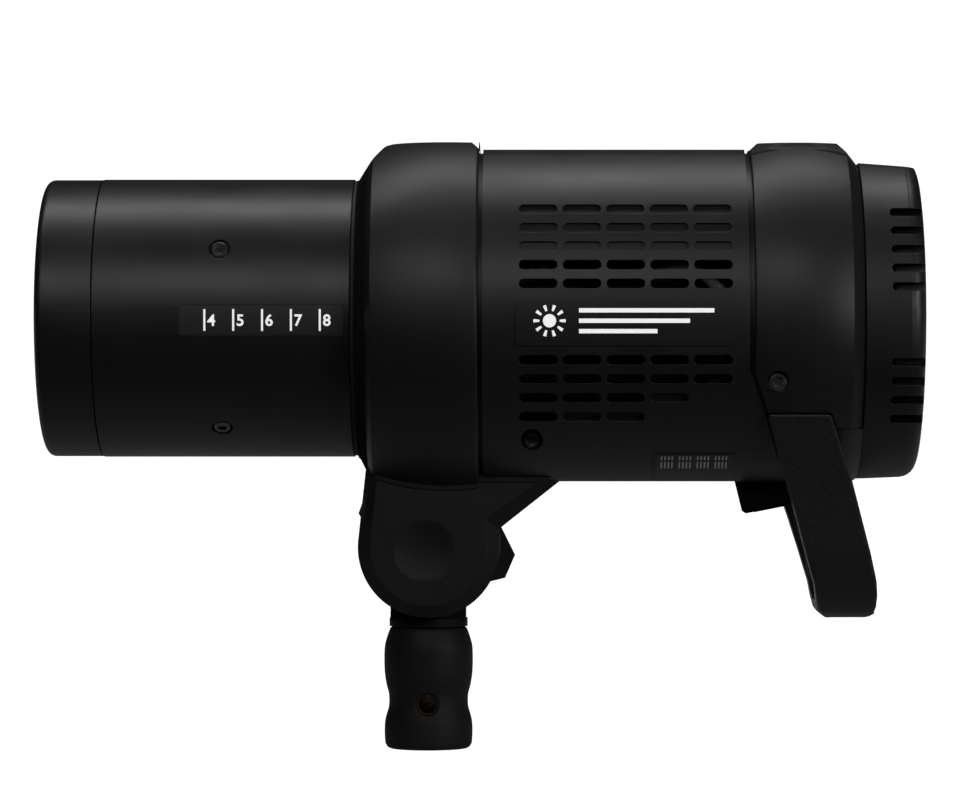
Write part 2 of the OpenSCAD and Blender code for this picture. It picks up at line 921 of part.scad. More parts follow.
module stand_bracket() {
  color(satin_black) on_axis() {
    dish_r = 42;
    dish_x = -0.8;
    dish_z = -axis_rise - 1;
    dish_depth = 1.6;
    lip_h = 1.6;
    lip_out = 0.6;
    lip_in = 3;
    difference() {
      union() {
        both_sides() {
          bevelled_slab(0, ear_half) {
            ear_outline(0, $fn = 96);
            ear_outline(bevel, $fn = 96);
          }
          bevelled_slab(0, ear_half) {
            gusset_outline(0);
            gusset_outline(bevel);
          }
        }
        // swell around the front end of the umbrella tube
        prism_y(-22, 22) {
          polygon([[-18, -60], [-21.8, -62.6], [-24.4, -69.9], [-22.7, -72.5], [-18, -74]]);
        }
        // raised lip along the seat of the collar and the housing
        intersection() {
          union() {
            collar_crown(lip_h);
            prism_x(housing_x[0] - 1.8, 46) {
              capped_circle(housing_r + lip_h, housing_top, housing_bottom + lip_h);
            }
          }
          both_sides() prism_y(10, ear_half + lip_out) {
            ear_outline(lip_in, $fn = 96);
            gusset_outline(lip_in);
          }
          block([-big, -big, -big], [big, big, -50]);
        }
      }
      // saddle for the collar and the housing
      collar_crown(0.06);
      rod_x(collar_seat + 0.1, collar_x[1] - 1, housing_x[0] + 1);
      prism_x(housing_x[0] - 0.1, 70) {
        capped_circle(housing_r + 0.06, housing_top, housing_bottom + 0.06);
      }
      rod_x(52.5, -40, -24);
      // gap for the tongue
      block([-big, -slot_half, -big], [big, slot_half, roof_z]);
      // tilt bolt in the right ear, nut pocket in the left ear
      rod_y(bolt_r + 0.1, 0, 30, 0, -axis_rise);
      translate([0, -17.1, -axis_rise]) rotate([-90, 30, 0]) cylinder(r = nut_r + 0.1, h = 10, $fn = 6);
      // dish on the outside of the left ear
      translate([dish_x, -ear_half - dish_r + dish_depth, dish_z]) sphere(dish_r, $fn = 128);
      // umbrella tube and its screw
      rod_x(umbrella_r + 0.05, -40, 60, umbrella_y, umbrella_z);
      rod_y(2.1, umbrella_y, 40, umbrella_screw_x, umbrella_z);
      for (x = [-8, 34], s = [-1, 1]) translate([x, s * 6.5, -68.5]) {
        cylinder(r = cap_shaft_r + 0.03, h = 20);
      }
    }
  }
}

module bracket_screws() {
  color(steel) on_axis() {
    for (s = [-1, 1]) {
      translate([-8, s * 6.5, -56.98]) cap_screw();
      translate([34, s * 6.5, -housing_bottom + housing_wall + 0.02]) cap_screw();
    }
    both_sides() translate([handle_screw[0], -handle_seat + 0.02, handle_screw[1]]) {
      rotate([-90, 0, 0]) cap_screw();
    }
  }
}

module umbrella_tube() {
  color(alloy) on_axis() {
    translate([0, umbrella_y, umbrella_z]) difference() {
      turn_x([[-24.2, 0], [-24.2, 4.7], [-23.2, umbrella_r], [25.2, umbrella_r], [25.2, 0]]);
      rod_x(umbrella_bore, -30, 40);
      rod_y(2.05, 0, 10, umbrella_screw_x, 0);
    }
  }
}

module umbrella_screw() {
  color(deep_black) on_axis() {
    knob_r = 5.5;
    rod_y(2, umbrella_y + umbrella_bore + 0.2, 30, umbrella_screw_x, umbrella_z);
    difference() {
      rod_y(knob_r, ear_half + 1, 36, umbrella_screw_x, umbrella_z);
      for (a = [0 : 30 : 330]) translate([umbrella_screw_x, 0, umbrella_z]) rotate([0, a, 0]) {
        rod_y(0.7, ear_half + 2.5, 37, knob_r + 0.3, 0);
      }
    }
  }
}

module tilt_bolt() {
  color(steel) at_pivot() {
    rod_y(bolt_r, -slot_half, 33.5);
    rod_y(bolt_r - 1, -16.5, -slot_half + 0.1);
  }
}

module tilt_nut() {
  color(steel) at_pivot() {
    difference() {
      translate([0, -17, 0]) rotate([-90, 30, 0]) cylinder(r = nut_r, h = 7, $fn = 6);
      rod_y(bolt_r - 0.95, -20, 0);
    }
  }
}

module friction_washers() {
  color(deep_black) at_pivot() {
    both_sides() difference() {
      rod_y(12, 8.15, 9.2);
      rod_y(bolt_r + 0.2, 8, 10);
    }
  }
}

module tilt_lever() {
  color(satin_black) at_pivot() {
    hub_r = 13;
    wing = [[10, 8], [20, 9.5], [26, 5.5], [31, -4.6], [27.4, -12.9], [20.5, -14.6],
            [8, -11]];
    difference() {
      union() {
        rod_y(hub_r, ear_half + 0.6, 35);
        rod_y(hub_r - 1.5, 34, 36.5);
        prism_y(27.5, 35.5) polygon(wing);
      }
      rod_y(bolt_r + 0.02, 20, 33.6);
    }
  }
}

// ---------- tongue and stand socket ----------
foot_top = pivot_h - ear_r - ear_shift - 0.3;
socket_top = 43.6;

module tilt_tongue() {
  color(satin_black) {
    half = 8;
    eye_r = 13.5;
    difference() {
      union() {
        at_pivot() rod_y(eye_r, -half, half);
        block([-eye_r, -half, foot_top - 1], [eye_r, half, pivot_h]);
        translate([0, 0, socket_top + 0.4]) cylinder(r = 14.1, h = foot_top - socket_top - 0.4);
        translate([0, 0, 38]) cylinder(r = 7, h = 10);
      }
      at_pivot() rod_y(bolt_r + 0.05, -20, 20);
    }
  }
}

module stand_socket() {
  color(satin_black) {
    waist_r = socket_r - 1.65;
    side = curve([[1.7, socket_r - 0.35], [5, socket_r - 0.1], [9.3, socket_r - 0.2],
                  [12.3, socket_r - 0.85], [15.2, waist_r], [19.4, waist_r],
                  [23, socket_r - 0.75], [28.2, socket_r - 0.05], [36, socket_r - 0.05],
                  [40, socket_r - 0.95], [socket_top - 0.5, 13.9]], 3);
    profile = concat([[0, 0], [0, 14], [0.5, 14.9]], side, [[socket_top, 13.4], [socket_top, 0]]);
    difference() {
      rotate_extrude() polygon([for (p = profile) [p[1], p[0]]]);
      translate([0, 0, -1]) cylinder(r = spigot_r, h = 35);
      translate([0, 0, 37.9]) cylinder(r = 7.05, h = 10);
      rod_y(4.2, -20, 0, 0, lock_z);
      rod_y(4.05, 0, 20, 0, lock_z);
    }
  }
}

module socket_insert() {
  color(brass_tone) {
    difference() {
      rod_y(4.15, -11.4, -8.5, 0, lock_z);
      rod_y(3.3, -14, -8, 0, lock_z);
    }
  }
}

module lock_pad() {
  color(brass_tone) {
    rod_y(3.97, 8.25, 9.3, 0, lock_z);
  }
}

module lock_screw() {
  color(steel) {
    rod_y(4, 9.4, 22, 0, lock_z);
  }
}

module lock_knob() {
  color(satin_black) {
    r = 13;
    lobes = 8;
    difference() {
      union() {
        rod_y(r, 20, 32, 0, lock_z);
        rod_y(r - 2, 31, 34, 0, lock_z);
        rod_y(6.5, 19.2, 21, 0, lock_z);
      }
      for (i = [0 : lobes - 1]) translate([0, 0, lock_z]) rotate([0, (i + 0.5) * 360 / lobes, 0]) {
        rod_y(2.6, 18, 40, r + 0.9, 0);
      }
      rod_y(4.02, 15, 22.1, 0, lock_z);
    }
  }
}

// ---------- inside the body ----------
rail_low = [27, -46];
rail_high = [35.6, 41.6];

module chassis_frame() {
  color(alloy) on_axis() {
    plate_r = 55.2;
    difference() {
      union() {
        rod_x(plate_r, 20.5, 23);
        rod_x(tube_in - 0.1, 10, 21);
        intersection() {
          rod_x(55, 148, 150.8);
          block([140, -big, -30], [160, big, 50]);
        }
        for (s = [-1, 1]) {
          block([22, s * rail_high[0] - 2, rail_high[1] - 2],
                [149, s * rail_high[0] + 2, rail_high[1] + 2]);
          block([22, s * rail_low[0] - 2, rail_low[1] - 2],
                [149, s * rail_low[0] + 2, rail_low[1] + 2]);
          block([148, s * rail_low[0] - 4, rail_low[1] - 2],
                [150.8, s * rail_low[0] + 4, -29]);
        }
        both_sides() block([21, -33.8, -46.8], [43, -29.5, -39]);
      }
      rod_x(tube_in - 2, 0, 20.5);
      rod_x(22, 15, 30);
      rod_x(30, 140, 160, 0, 4);
      at_side_screw(housing_screw, 39) translate([0, 0, -20]) {
        cylinder(r = shaft_r + 0.06, h = 40);
      }
      for (s = [-1, 1]) translate([34, s * 6.5, -60]) cylinder(r = 4, h = 12);
    }
  }
}

cap_can_r = 17.4;
cap_spots = [for (sy = [-1, 1], sz = [-1, 1]) [sy * 19.5, sz * 19.5]];

module capacitors() {
  color(soft_black) on_axis() {
    for (p = cap_spots) {
      rod_x(cap_can_r, 30, 99, p[0], p[1]);
      for (s = [-1, 1]) rod_x(2.5, 99, 103, p[0] + s * 6, p[1]);
    }
  }
}

module capacitor_clamp() {
  color(alloy) on_axis() {
    difference() {
      prism_x(60, 64) round_rect([78, 78], 8);
      for (p = cap_spots) rod_x(cap_can_r + 0.1, 59, 65, p[0], p[1]);
      prism_x(59, 65) square([12, 12], center = true);
    }
  }
}

module power_board() {
  color(board_green) on_axis() {
    top = -40.8;
    block([30, -24, top - 1.6], [124, 24, top]);
    // upright bleeder board between the capacitors and the transformer
    block([99.4, -0.8, top - 0.1], [104.2, 0.8, 36]);
    for (x = [106 : 8 : 122], y = [-16, 0, 16]) translate([x, y, top - 0.1]) {
      cylinder(r = 2.6, h = 9);
    }
  }
}

module transformer() {
  color(copper_tone) on_axis() {
    difference() {
      block([104.5, -20, -22], [130, 20, 14]);
      for (s = [-1, 1]) block([100, s * 14 - 3, -14], [140, s * 14 + 3, 6]);
    }
  }
}

module heatsink() {
  color(alloy) on_axis() {
    block([30, -22, 40], [100, 22, 43]);
    for (i = [-3 : 3]) block([30, i * 7 - 0.8, 42], [100, i * 7 + 0.8, 54.5]);
  }
}

fan_z = 4;
fan_x = 132;

module fan_frame() {
  color(deep_black) on_axis() {
    half = 35;
    bore = 33.5;
    translate([0, 0, fan_z]) difference() {
      prism_x(fan_x, fan_x + 15) round_rect([2 * half, 2 * half], 4);
      rod_x(bore, fan_x + 2.5, fan_x + 20);
      difference() {
        rod_x(bore, fan_x - 1, fan_x + 5);
        rod_x(13, fan_x - 2, fan_x + 6);
        for (a = [0, 90]) rotate([a, 0, 0]) block([fan_x - 2, -40, -1.5], [fan_x + 6, 40, 1.5]);
      }
      rod_x(2.06, fan_x - 2, fan_x + 20);
    }
  }
}

module fan_rotor() {
  color(soft_black) on_axis() {
    blades = 7;
    translate([0, 0, fan_z]) {
      rod_x(13, fan_x + 4, fan_x + 13);
      rod_x(2, fan_x + 0.2, fan_x + 5);
      for (i = [0 : blades - 1]) rotate([i * 360 / blades, 0, 0]) {
        translate([fan_x + 8.5, 0, 22]) rotate([0, 0, 38]) cube([9, 1.4, 21], center = true);
      }
    }
  }
}

// ---------- mains inlet ----------
module mains_inlet() {
  color(deep_black) on_axis() {
    at_inlet() difference() {
      block([-9.9, -13.6, -0.2], [9.9, 13.6, 17.5]);
      difference() {
        block([-8.1, -12, -1], [8.1, 12, 15]);
        for (s = [-1, 1]) translate([-8.1, s * 12, 0]) rotate([0, 0, 45]) {
          cube([6, 6, 40], center = true);
        }
      }
    }
  }
}

module inlet_pins() {
  color(brass_tone) on_axis() {
    at_inlet() {
      for (p = [[-2, -7], [2, 0], [-2, 7]]) {
        block([p[0] - 1, p[1] - 2, 2], [p[0] + 1, p[1] + 2, 14.95]);
      }
    }
  }
}

// ---------- control panel and controls ----------
module control_panel() {
  color(soft_black) on_axis() {
    tray_r = 48;
    difference() {
      union() {
        rod_x(panel_r, panel_x, panel_face);
        rod_x(tray_r, board_x + 1.7, panel_x + 0.1);
      }
      rod_x(tray_r - 1.6, board_x, panel_x);
      prism_x(panel_x - 1, panel_face + 1) {
        translate([0, window_z]) round_rect([44, 25], 1.5);
        translate([0, rocker_z]) square([2 * rocker_r + 0.3, rocker_w + 0.3], center = true);
        translate([0, dial_z]) circle(4);
        translate([0, photo_z]) circle(4);
        translate([sync_y, sync_z]) circle(4.6);
        for (p = button_spots) translate(p) circle(button_r + 0.1);
      }
      // shallow ring around the dial
      rod_x(dial_r + 2, panel_face - 0.6, panel_face + 1, 0, dial_z);
    }
  }
}

module control_board() {
  color(board_green) on_axis() {
    difference() {
      union() {
        rod_x(44, board_x, board_x + 1.6);
        rod_x(6, board_x + 1.5, panel_x - 0.2, 0, dial_z);
      }
      rod_x(3.08, board_x - 1, panel_x + 1, 0, dial_z);
      rod_x(4.7, board_x - 1, board_x + 2, sync_y, sync_z);
    }
  }
}

module display() {
  color(deep_black) on_axis() {
    translate([0, 0, window_z]) block([board_x + 1.7, -22, -12.5], [panel_x - 0.1, 22, 12.5]);
  }
}

module display_window() {
  color(glass_tone) on_axis() {
    translate([0, 0, window_z]) prism_x(panel_x, panel_face + 0.3) round_rect([43.8, 24.8], 1.4);
  }
}

module dial() {
  color(satin_black) on_axis() {
    base = panel_face + 0.2;
    flutes = 24;
    translate([0, 0, dial_z]) difference() {
      union() {
        rod_x(dial_r, base, rear_x - 2);
        rod_x(dial_r - 1, base, rear_x - 1);
        rod_x(3, board_x + 2, base + 1);
      }
      for (i = [0 : flutes - 1]) rotate([i * 360 / flutes, 0, 0]) {
        rod_x(0.6, base + 1, rear_x, 0, dial_r + 0.15);
      }
      rod_x(1.2, rear_x - 1.5, rear_x, 0, dial_r - 4);
    }
  }
}

// push button: cap, flange behind the panel and a stem to the switch
module push_button(spot) {
  translate([0, spot[0], spot[1]]) {
    rod_x(button_r, panel_x - 1, panel_face + 1.5);
    rod_x(button_r + 1, panel_x - 1.5, panel_x - 0.2);
    rod_x(1.5, board_x + 1.9 + button_travel, panel_x - 1);
  }
}

module button_test() {
  color(soft_black) on_axis() push_button(button_spots[0]);
}

module button_model() {
  color(soft_black) on_axis() push_button(button_spots[1]);
}

module button_sync() {
  color(soft_black) on_axis() push_button(button_spots[2]);
}

module button_menu() {
  color(soft_black) on_axis() push_button(button_spots[3]);
}

// rocker that turns about an upright axis in the panel
module power_switch() {
  color(deep_black) on_axis() {
    crest = 3;
    end = crest + rocker_r * tan(rocker_tilt);
    translate([rocker_x, 0, rocker_z - rocker_w / 2]) rotate([0, 0, rocker_tilt]) {
      linear_extrude(rocker_w) intersection() {
        circle(rocker_r);
        polygon([[crest, 0], [end, rocker_r], [end, 12], [-5, 12], [-5, -12], [end, -12],
                 [end, -rocker_r]]);
      }
    }
  }
}

module photocell() {
  color(glass_tone) on_axis() {
    r = 3.9;
    rod_x(r, panel_x - 2, panel_face + 0.6, 0, photo_z);
    translate([panel_face + 0.6, 0, photo_z]) sphere(r);
  }
}

module sync_socket() {
  color(steel) on_axis() {
    difference() {
      union() {
        rod_x(4.5, board_x - 1, panel_face + 0.2, sync_y, sync_z);
        rod_x(5.6, panel_face + 0.1, panel_face + 1.2, sync_y, sync_z);
      }
      rod_x(sync_bore, panel_face + 1.2 - 10, panel_face + 2, sync_y, sync_z);
    }
  }
}

front_ring();
front_glass();
glass_retainer();
barrel();
barrel_scale();
case_screws();
reflector();
lamp_plate();
flash_tube();
tube_socket();
modeling_lamp();
lamp_holder();
heat_shield();
front_collar();
collar_gasket();
housing_left();
housing_right();
rear_base();
rear_collar();
rear_cap();
control_panel();
name_plates();
rating_label();
handle();
stand_bracket();
bracket_screws();
umbrella_tube();
umbrella_screw();
tilt_bolt();
tilt_nut();
friction_washers();
tilt_lever();
tilt_tongue();
stand_socket();
socket_insert();
lock_screw();
lock_knob();
lock_pad();
chassis_frame();
capacitors();
capacitor_clamp();
power_board();
transformer();
heatsink();
trigger_coil();
fan_frame();
fan_rotor();
mains_inlet();
inlet_pins();
power_switch();
control_board();
display();
display_window();
dial();
button_test();
button_model();
button_sync();
button_menu();
photocell();
sync_socket();
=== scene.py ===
"""Looks of the monolight strobe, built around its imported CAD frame.

Metres, in the frame's own axes: +Z up, the light fires towards -X, the left side faces -Y.
"""
import math

import bmesh
import bpy
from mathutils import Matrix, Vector

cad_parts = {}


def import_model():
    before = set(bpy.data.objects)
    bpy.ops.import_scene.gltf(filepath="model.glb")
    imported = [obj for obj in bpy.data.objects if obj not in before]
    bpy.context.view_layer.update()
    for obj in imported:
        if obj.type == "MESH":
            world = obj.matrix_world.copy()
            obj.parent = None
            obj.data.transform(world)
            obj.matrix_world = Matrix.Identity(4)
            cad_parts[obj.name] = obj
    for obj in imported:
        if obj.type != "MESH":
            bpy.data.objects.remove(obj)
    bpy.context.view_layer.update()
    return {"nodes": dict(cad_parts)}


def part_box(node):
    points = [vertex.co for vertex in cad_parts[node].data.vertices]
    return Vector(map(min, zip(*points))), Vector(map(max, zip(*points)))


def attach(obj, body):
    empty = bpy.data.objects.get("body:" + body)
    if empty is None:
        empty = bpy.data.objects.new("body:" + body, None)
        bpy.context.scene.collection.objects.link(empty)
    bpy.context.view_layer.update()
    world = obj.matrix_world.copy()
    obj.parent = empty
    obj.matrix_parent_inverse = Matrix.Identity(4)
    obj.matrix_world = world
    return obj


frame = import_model()
NODES = frame["nodes"]
MM = 0.001

# ---------------------------------------------------------------- places read from the frame


def centre(node):
    low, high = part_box(node)
    return (low + high) / 2


AXIS_Z = centre("barrel").z
TUBE_R = (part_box("barrel")[1].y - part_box("barrel")[0].y) / 2
PLATE_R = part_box("name_plates")[1].y
HOUSING_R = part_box("housing_right")[1].y
PANEL_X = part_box("control_panel")[1].x


# ---------------------------------------------------------------- material tools
WHITE = (1.0, 1.0, 1.0, 1.0)
WHITE_SHOWN = 1.1   # brightness of the floor and the sky to the camera
WHOLLY_EDGE = 0.75  # dot product of the true and the rounded normal where an edge counts fully


class Nodes:
    """The node tree of a material or a world, with short calls for the nodes used here."""

    def __init__(self, owner, coordinates="Object"):
        owner.use_nodes = True
        self.owner = owner
        self.tree = owner.node_tree
        self.tree.nodes.clear()
        self.coords = self.node("ShaderNodeTexCoord").outputs[coordinates]

    def node(self, kind, inputs=None, **settings):
        made = self.tree.nodes.new(kind)
        for key, value in settings.items():
            setattr(made, key, value)
        for key, value in (inputs or {}).items():
            self.put(value, made.inputs[key])
        return made

    def put(self, value, socket):
        if isinstance(value, bpy.types.NodeSocket):
            self.tree.links.new(value, socket)
        else:
            socket.default_value = value

    def noise(self, size_mm, detail=2.0, roughness=0.5, stretch=None):
        """Noise with features of about that size, optionally stretched along the axes."""
        where = self.coords
        if stretch:
            scaled = self.node("ShaderNodeMapping", {"Vector": where, "Scale": stretch})
            where = scaled.outputs[0]
        made = self.node("ShaderNodeTexNoise", {
            "Vector": where, "Scale": 1 / (size_mm * MM), "Detail": detail,
            "Roughness": roughness})
        return made.outputs["Fac"]

    def cells(self, size_mm, feature="F1"):
        made = self.node("ShaderNodeTexVoronoi", {
            "Vector": self.coords, "Scale": 1 / (size_mm * MM)}, feature=feature)
        return made.outputs["Distance"]

    def waves(self, scale, direction, distortion=0.0):
        """Stripes across a direction."""
        made = self.node("ShaderNodeTexWave", {
            "Vector": self.coords, "Scale": scale, "Distortion": distortion},
            bands_direction=direction)
        return made.outputs["Fac"]

    def ramp(self, value, low, high, out_low=0.0, out_high=1.0):
        made = self.node("ShaderNodeMapRange", {
            "Value": value, "From Min": low, "From Max": high,
            "To Min": out_low, "To Max": out_high}, clamp=True)
        return made.outputs["Result"]

    def math(self, kind, a, b=0.0):
        return self.node("ShaderNodeMath", {0: a, 1: b}, operation=kind).outputs[0]

    def mix(self, share, a, b):
        made = self.node("ShaderNodeMix", data_type="RGBA")
        self.put(share, made.inputs["Factor"])
        self.put(a, made.inputs[6])
        self.put(b, made.inputs[7])
        return made.outputs[2]

    def bump(self, height, depth_mm, normal=None):
        inputs = {"Height": height, "Distance": depth_mm * MM}
        if normal is not None:
            inputs["Normal"] = normal
        return self.node("ShaderNodeBump", inputs).outputs[0]

    def axis(self, name):
        split = self.node("ShaderNodeSeparateXYZ", {"Vector": self.coords})
        return split.outputs[name]

    def round_edges(self, radius_mm):
        return self.node("ShaderNodeBevel", {"Radius": radius_mm * MM}, samples=4).outputs[0]

    def edge_mask(self, rounded):
        """Near 1 on convex and concave edges, 0 on flats."""
        true_normal = self.node("ShaderNodeNewGeometry").outputs["Normal"]
        dot = self.node("ShaderNodeVectorMath", {0: rounded, 1: true_normal},
                        operation="DOT_PRODUCT").outputs["Value"]
        return self.ramp(dot, WHOLLY_EDGE, 1.0, 1.0, 0.0)

    def surface(self, **inputs):
        shader = self.node("ShaderNodeBsdfPrincipled")
        for key, value in inputs.items():
            self.put(value, shader.inputs[key.replace("_", " ")])
        output = self.node("ShaderNodeOutputMaterial")
        self.tree.links.new(shader.outputs[0], output.inputs["Surface"])
        return self.owner

    def white_to_camera(self, kind, glow, output):
        """White to the camera, a dimmer glow towards the object's reflections."""
        camera_ray = self.node("ShaderNodeLightPath").outputs["Is Camera Ray"]
        dim = self.node(kind, {"Color": WHITE, "Strength": glow}).outputs[0]
        white = self.node(kind, {"Color": WHITE, "Strength": WHITE_SHOWN}).outputs[0]
        mix = self.node("ShaderNodeMixShader", {0: camera_ray, 1: dim, 2: white}).outputs[0]
        self.node(output, {"Surface": mix})
        return self.owner


class Shader(Nodes):
    """A new material."""

    def __init__(self, name):
        super().__init__(bpy.data.materials.new(name))


def rgb(r, g, b):
    return (r, g, b, 1.0)


def grey(level, tint=0.0):
    return rgb(level * (1 - tint), level, level * (1 + tint))


def coating(name, tone=0.012, rough=0.42, grain_mm=0.5, grain_depth=0.012, specular=0.5,
            edge_mm=0.35, wear=0.25, blotch=0.12, metallic=0.0, dull_below=None, dark_before=None):
    """Painted or moulded skin: colour drift, fine grain, soft edges with slight wear.

    Below the height dull_below it has no gloss; before the place dark_before along X it has
    neither gloss nor drift.
    """
    s = Shader(name)
    rounded = s.round_edges(edge_mm)
    grain = s.noise(grain_mm, detail=2.5, roughness=0.6)
    fine = s.noise(grain_mm * 0.35, detail=1.0)
    drift = s.noise(size_mm=28, detail=3.0)
    base = s.mix(s.ramp(drift, 0.3, 0.7), grey(tone * (1 - blotch), 0.03),
                 grey(tone * (1 + blotch), 0.05))
    speck = s.ramp(fine, 0.66, 0.8)
    base = s.mix(s.math("MULTIPLY", speck, 0.25), base, grey(tone * 2.2))
    worn = s.math("MULTIPLY", s.edge_mask(rounded), s.ramp(grain, 0.35, 0.65, 0.3, 1.0))
    base = s.mix(s.math("MULTIPLY", worn, wear), base, grey(tone * 4 + 0.01))
    shine = s.ramp(s.math("ADD", s.math("MULTIPLY", drift, 0.6), s.math("MULTIPLY", grain, 0.4)),
                   0.3, 0.7, rough - 0.05, rough + 0.05)
    height = s.math("ADD", grain, s.math("MULTIPLY", fine, 0.35))
    normal = s.bump(height, grain_depth, rounded)
    if dull_below is not None:
        specular = s.ramp(s.axis("Z"), dull_below - 0.2 * MM, dull_below, 0.0, specular)
    # painted shade: before dark_before the skin has no gloss and a flat grey colour, so that this
    # end reads as shaded
    if dark_before is not None:
        lit = s.ramp(s.axis("X"), dark_before - 0.5 * MM, dark_before + 0.5 * MM)
        base = s.mix(lit, grey(tone * 1.4), base)
        specular = s.math("MULTIPLY", lit, specular)
    return s.surface(Base_Color=base, Roughness=shine, Normal=normal, Metallic=metallic,
                     Specular_IOR_Level=specular)


def moulded_grip(name, smooth_below):
    """Handle plastic: coarse moulded grain that stops at the smooth lower part of the strap."""
    s = Shader(name)
    tone = 0.013
    fade = 3 * MM
    rounded = s.round_edges(0.5)
    cells = s.cells(size_mm=0.9, feature="SMOOTH_F1")
    fine = s.noise(size_mm=0.45, detail=2.0)
    side = s.ramp(s.axis("Z"), smooth_below - fade, smooth_below + fade)
    grain = s.math("MULTIPLY", s.math("ADD", cells, s.math("MULTIPLY", fine, 0.5)), side)
    drift = s.noise(size_mm=22, detail=3.0)
    base = s.mix(s.ramp(drift, 0.3, 0.7), grey(tone * 0.85), grey(tone * 1.15, 0.04))
    speck = s.math("MULTIPLY", s.ramp(s.noise(size_mm=1.1, detail=2.0), 0.45, 0.7), side)
    base = s.mix(speck, base, grey(tone * 1.9))
    # painted highlight: the handle's edges are made lighter in colour, standing in for the light
    # caught on their roundings
    base = s.mix(s.math("MULTIPLY", s.edge_mask(rounded), 0.4), base, grey(tone * 6))
    normal = s.bump(grain, 0.14, rounded)
    shine = s.ramp(side, 0, 1, 0.42, 0.5)
    return s.surface(Base_Color=base, Roughness=shine, Normal=normal)


def bare_metal(name, tone, rough, brush=(1.0, 1.0, 1.0), brush_mm=0.3, depth=0.004):
    """Machined or plated metal: fine directional marks, dulled patches, bright edges."""
    s = Shader(name)
    rounded = s.round_edges(0.2)
    marks = s.noise(brush_mm, detail=3.0, stretch=brush)
    patches = s.noise(size_mm=9, detail=4.0, roughness=0.6)
    dark = rgb(*(c * 0.82 for c in tone[:3]))
    base = s.mix(s.ramp(patches, 0.35, 0.7), tone, dark)
    shine = s.ramp(s.math("ADD", marks, patches), 0.7, 1.3, rough - 0.08, rough + 0.1)
    return s.surface(Base_Color=base, Roughness=shine, Metallic=1.0,
                     Normal=s.bump(marks, depth, rounded))


def rubber(name):
    """Dull black rubber with a little dust."""
    s = Shader(name)
    tone = 0.012
    grain = s.noise(size_mm=0.35, detail=3.0)
    dust = s.noise(size_mm=6, detail=4.0)
    base = s.mix(s.ramp(dust, 0.4, 0.75), grey(tone), grey(tone * 1.8))
    return s.surface(Base_Color=base, Roughness=s.ramp(grain, 0.3, 0.7, 0.6, 0.75),
                     Normal=s.bump(grain, 0.02, s.round_edges(0.3)))


def printed_film(name, tone, rough):
    """Thin label or printed panel: faint mottling and a slightly different sheen from the body."""
    s = Shader(name)
    grain = s.noise(size_mm=0.25, detail=2.0)
    patches = s.noise(size_mm=12, detail=3.0)
    base = s.mix(s.ramp(patches, 0.3, 0.7), grey(tone * 0.9), grey(tone * 1.12, 0.03))
    shine = s.ramp(grain, 0.3, 0.7, rough - 0.04, rough + 0.05)
    return s.surface(Base_Color=base, Roughness=shine,
                     Normal=s.bump(grain, 0.005, s.round_edges(0.15)))


def ink(name, level, glow):
    """Pale print with a faint painted glow of its own, so that it stays readable."""
    s = Shader(name)
    rough = 0.45
    grain = s.noise(size_mm=0.2, detail=2.0)
    patches = s.noise(size_mm=3, detail=3.0)
    base = s.mix(s.ramp(patches, 0.25, 0.75), grey(level * 0.94), grey(level))
    shine = s.ramp(grain, 0.3, 0.7, rough - 0.05, rough + 0.08)
    return s.surface(Base_Color=base, Roughness=shine, Normal=s.bump(grain, 0.004),
                     Emission_Color=base, Emission_Strength=glow)


def ceramic(name):
    """Off-white ceramic with a coarse skin."""
    s = Shader(name)
    grain = s.noise(size_mm=0.5, detail=4.0, roughness=0.7)
    base = s.mix(s.ramp(grain, 0.4, 0.8), rgb(0.78, 0.74, 0.66), rgb(0.6, 0.56, 0.5))
    return s.surface(Base_Color=base, Roughness=0.55,
                     Normal=s.bump(grain, 0.02, s.round_edges(0.3)))


def glass(name, rough, tint, ripple_mm, ripple_depth):
    """Glass with a rippled face and a few duller smears."""
    s = Shader(name)
    ripple = s.noise(ripple_mm, detail=2.0)
    smear = s.noise(size_mm=20, detail=4.0)
    shine = s.ramp(smear, 0.35, 0.75, rough, rough + 0.06)
    return s.surface(Base_Color=tint, Roughness=shine, Transmission_Weight=1.0, IOR=1.47,
                     Normal=s.bump(ripple, ripple_depth))


def circuit_board(name):
    """Green solder mask with copper tracks under it and pale pads."""
    s = Shader(name)
    tracks = s.node("ShaderNodeTexBrick", {
        "Vector": s.coords, "Scale": 160.0, "Mortar Size": 0.03,
        "Color1": rgb(0.01, 0.085, 0.045), "Color2": rgb(0.012, 0.10, 0.05),
        "Mortar": rgb(0.03, 0.20, 0.09)})
    pads = s.ramp(s.cells(size_mm=2.6), 0.16, 0.2, 1.0, 0.0)
    base = s.mix(s.math("MULTIPLY", pads, 0.5), tracks.outputs["Color"], rgb(0.2, 0.2, 0.18))
    return s.surface(Base_Color=base, Roughness=0.38,
                     Normal=s.bump(tracks.outputs["Fac"], 0.03))


def winding(name):
    """Enamelled copper wire wound round the X axis."""
    s = Shader(name)
    wires = s.waves(350.0, "X", distortion=0.4)
    base = s.mix(wires, rgb(0.20, 0.05, 0.02), rgb(0.62, 0.24, 0.10))
    return s.surface(Base_Color=base, Roughness=0.6, Specular_IOR_Level=0.1,
                     Normal=s.bump(wires, 0.25))


def sleeve(name):
    """Shrink sleeve of a capacitor with a pale polarity stripe."""
    s = Shader(name)
    grain = s.noise(size_mm=1.2, detail=3.0)
    stripe = s.waves(14.0, "Z")
    base = s.mix(s.ramp(stripe, 0.97, 0.985), rgb(0.007, 0.007, 0.009), rgb(0.05, 0.05, 0.055))
    return s.surface(Base_Color=base, Roughness=s.ramp(grain, 0.3, 0.7, 0.5, 0.65),
                     Normal=s.bump(grain, 0.05))


def braid(name, tone):
    """Woven sleeve: two crossing sets of fine strands."""
    s = Shader(name)
    weave = s.math("MULTIPLY", s.waves(420.0, "DIAGONAL"), s.waves(360.0, "X"))
    base = s.mix(weave, grey(tone * 0.25), grey(tone))
    return s.surface(Base_Color=base, Roughness=0.6, Normal=s.bump(weave, 0.2))


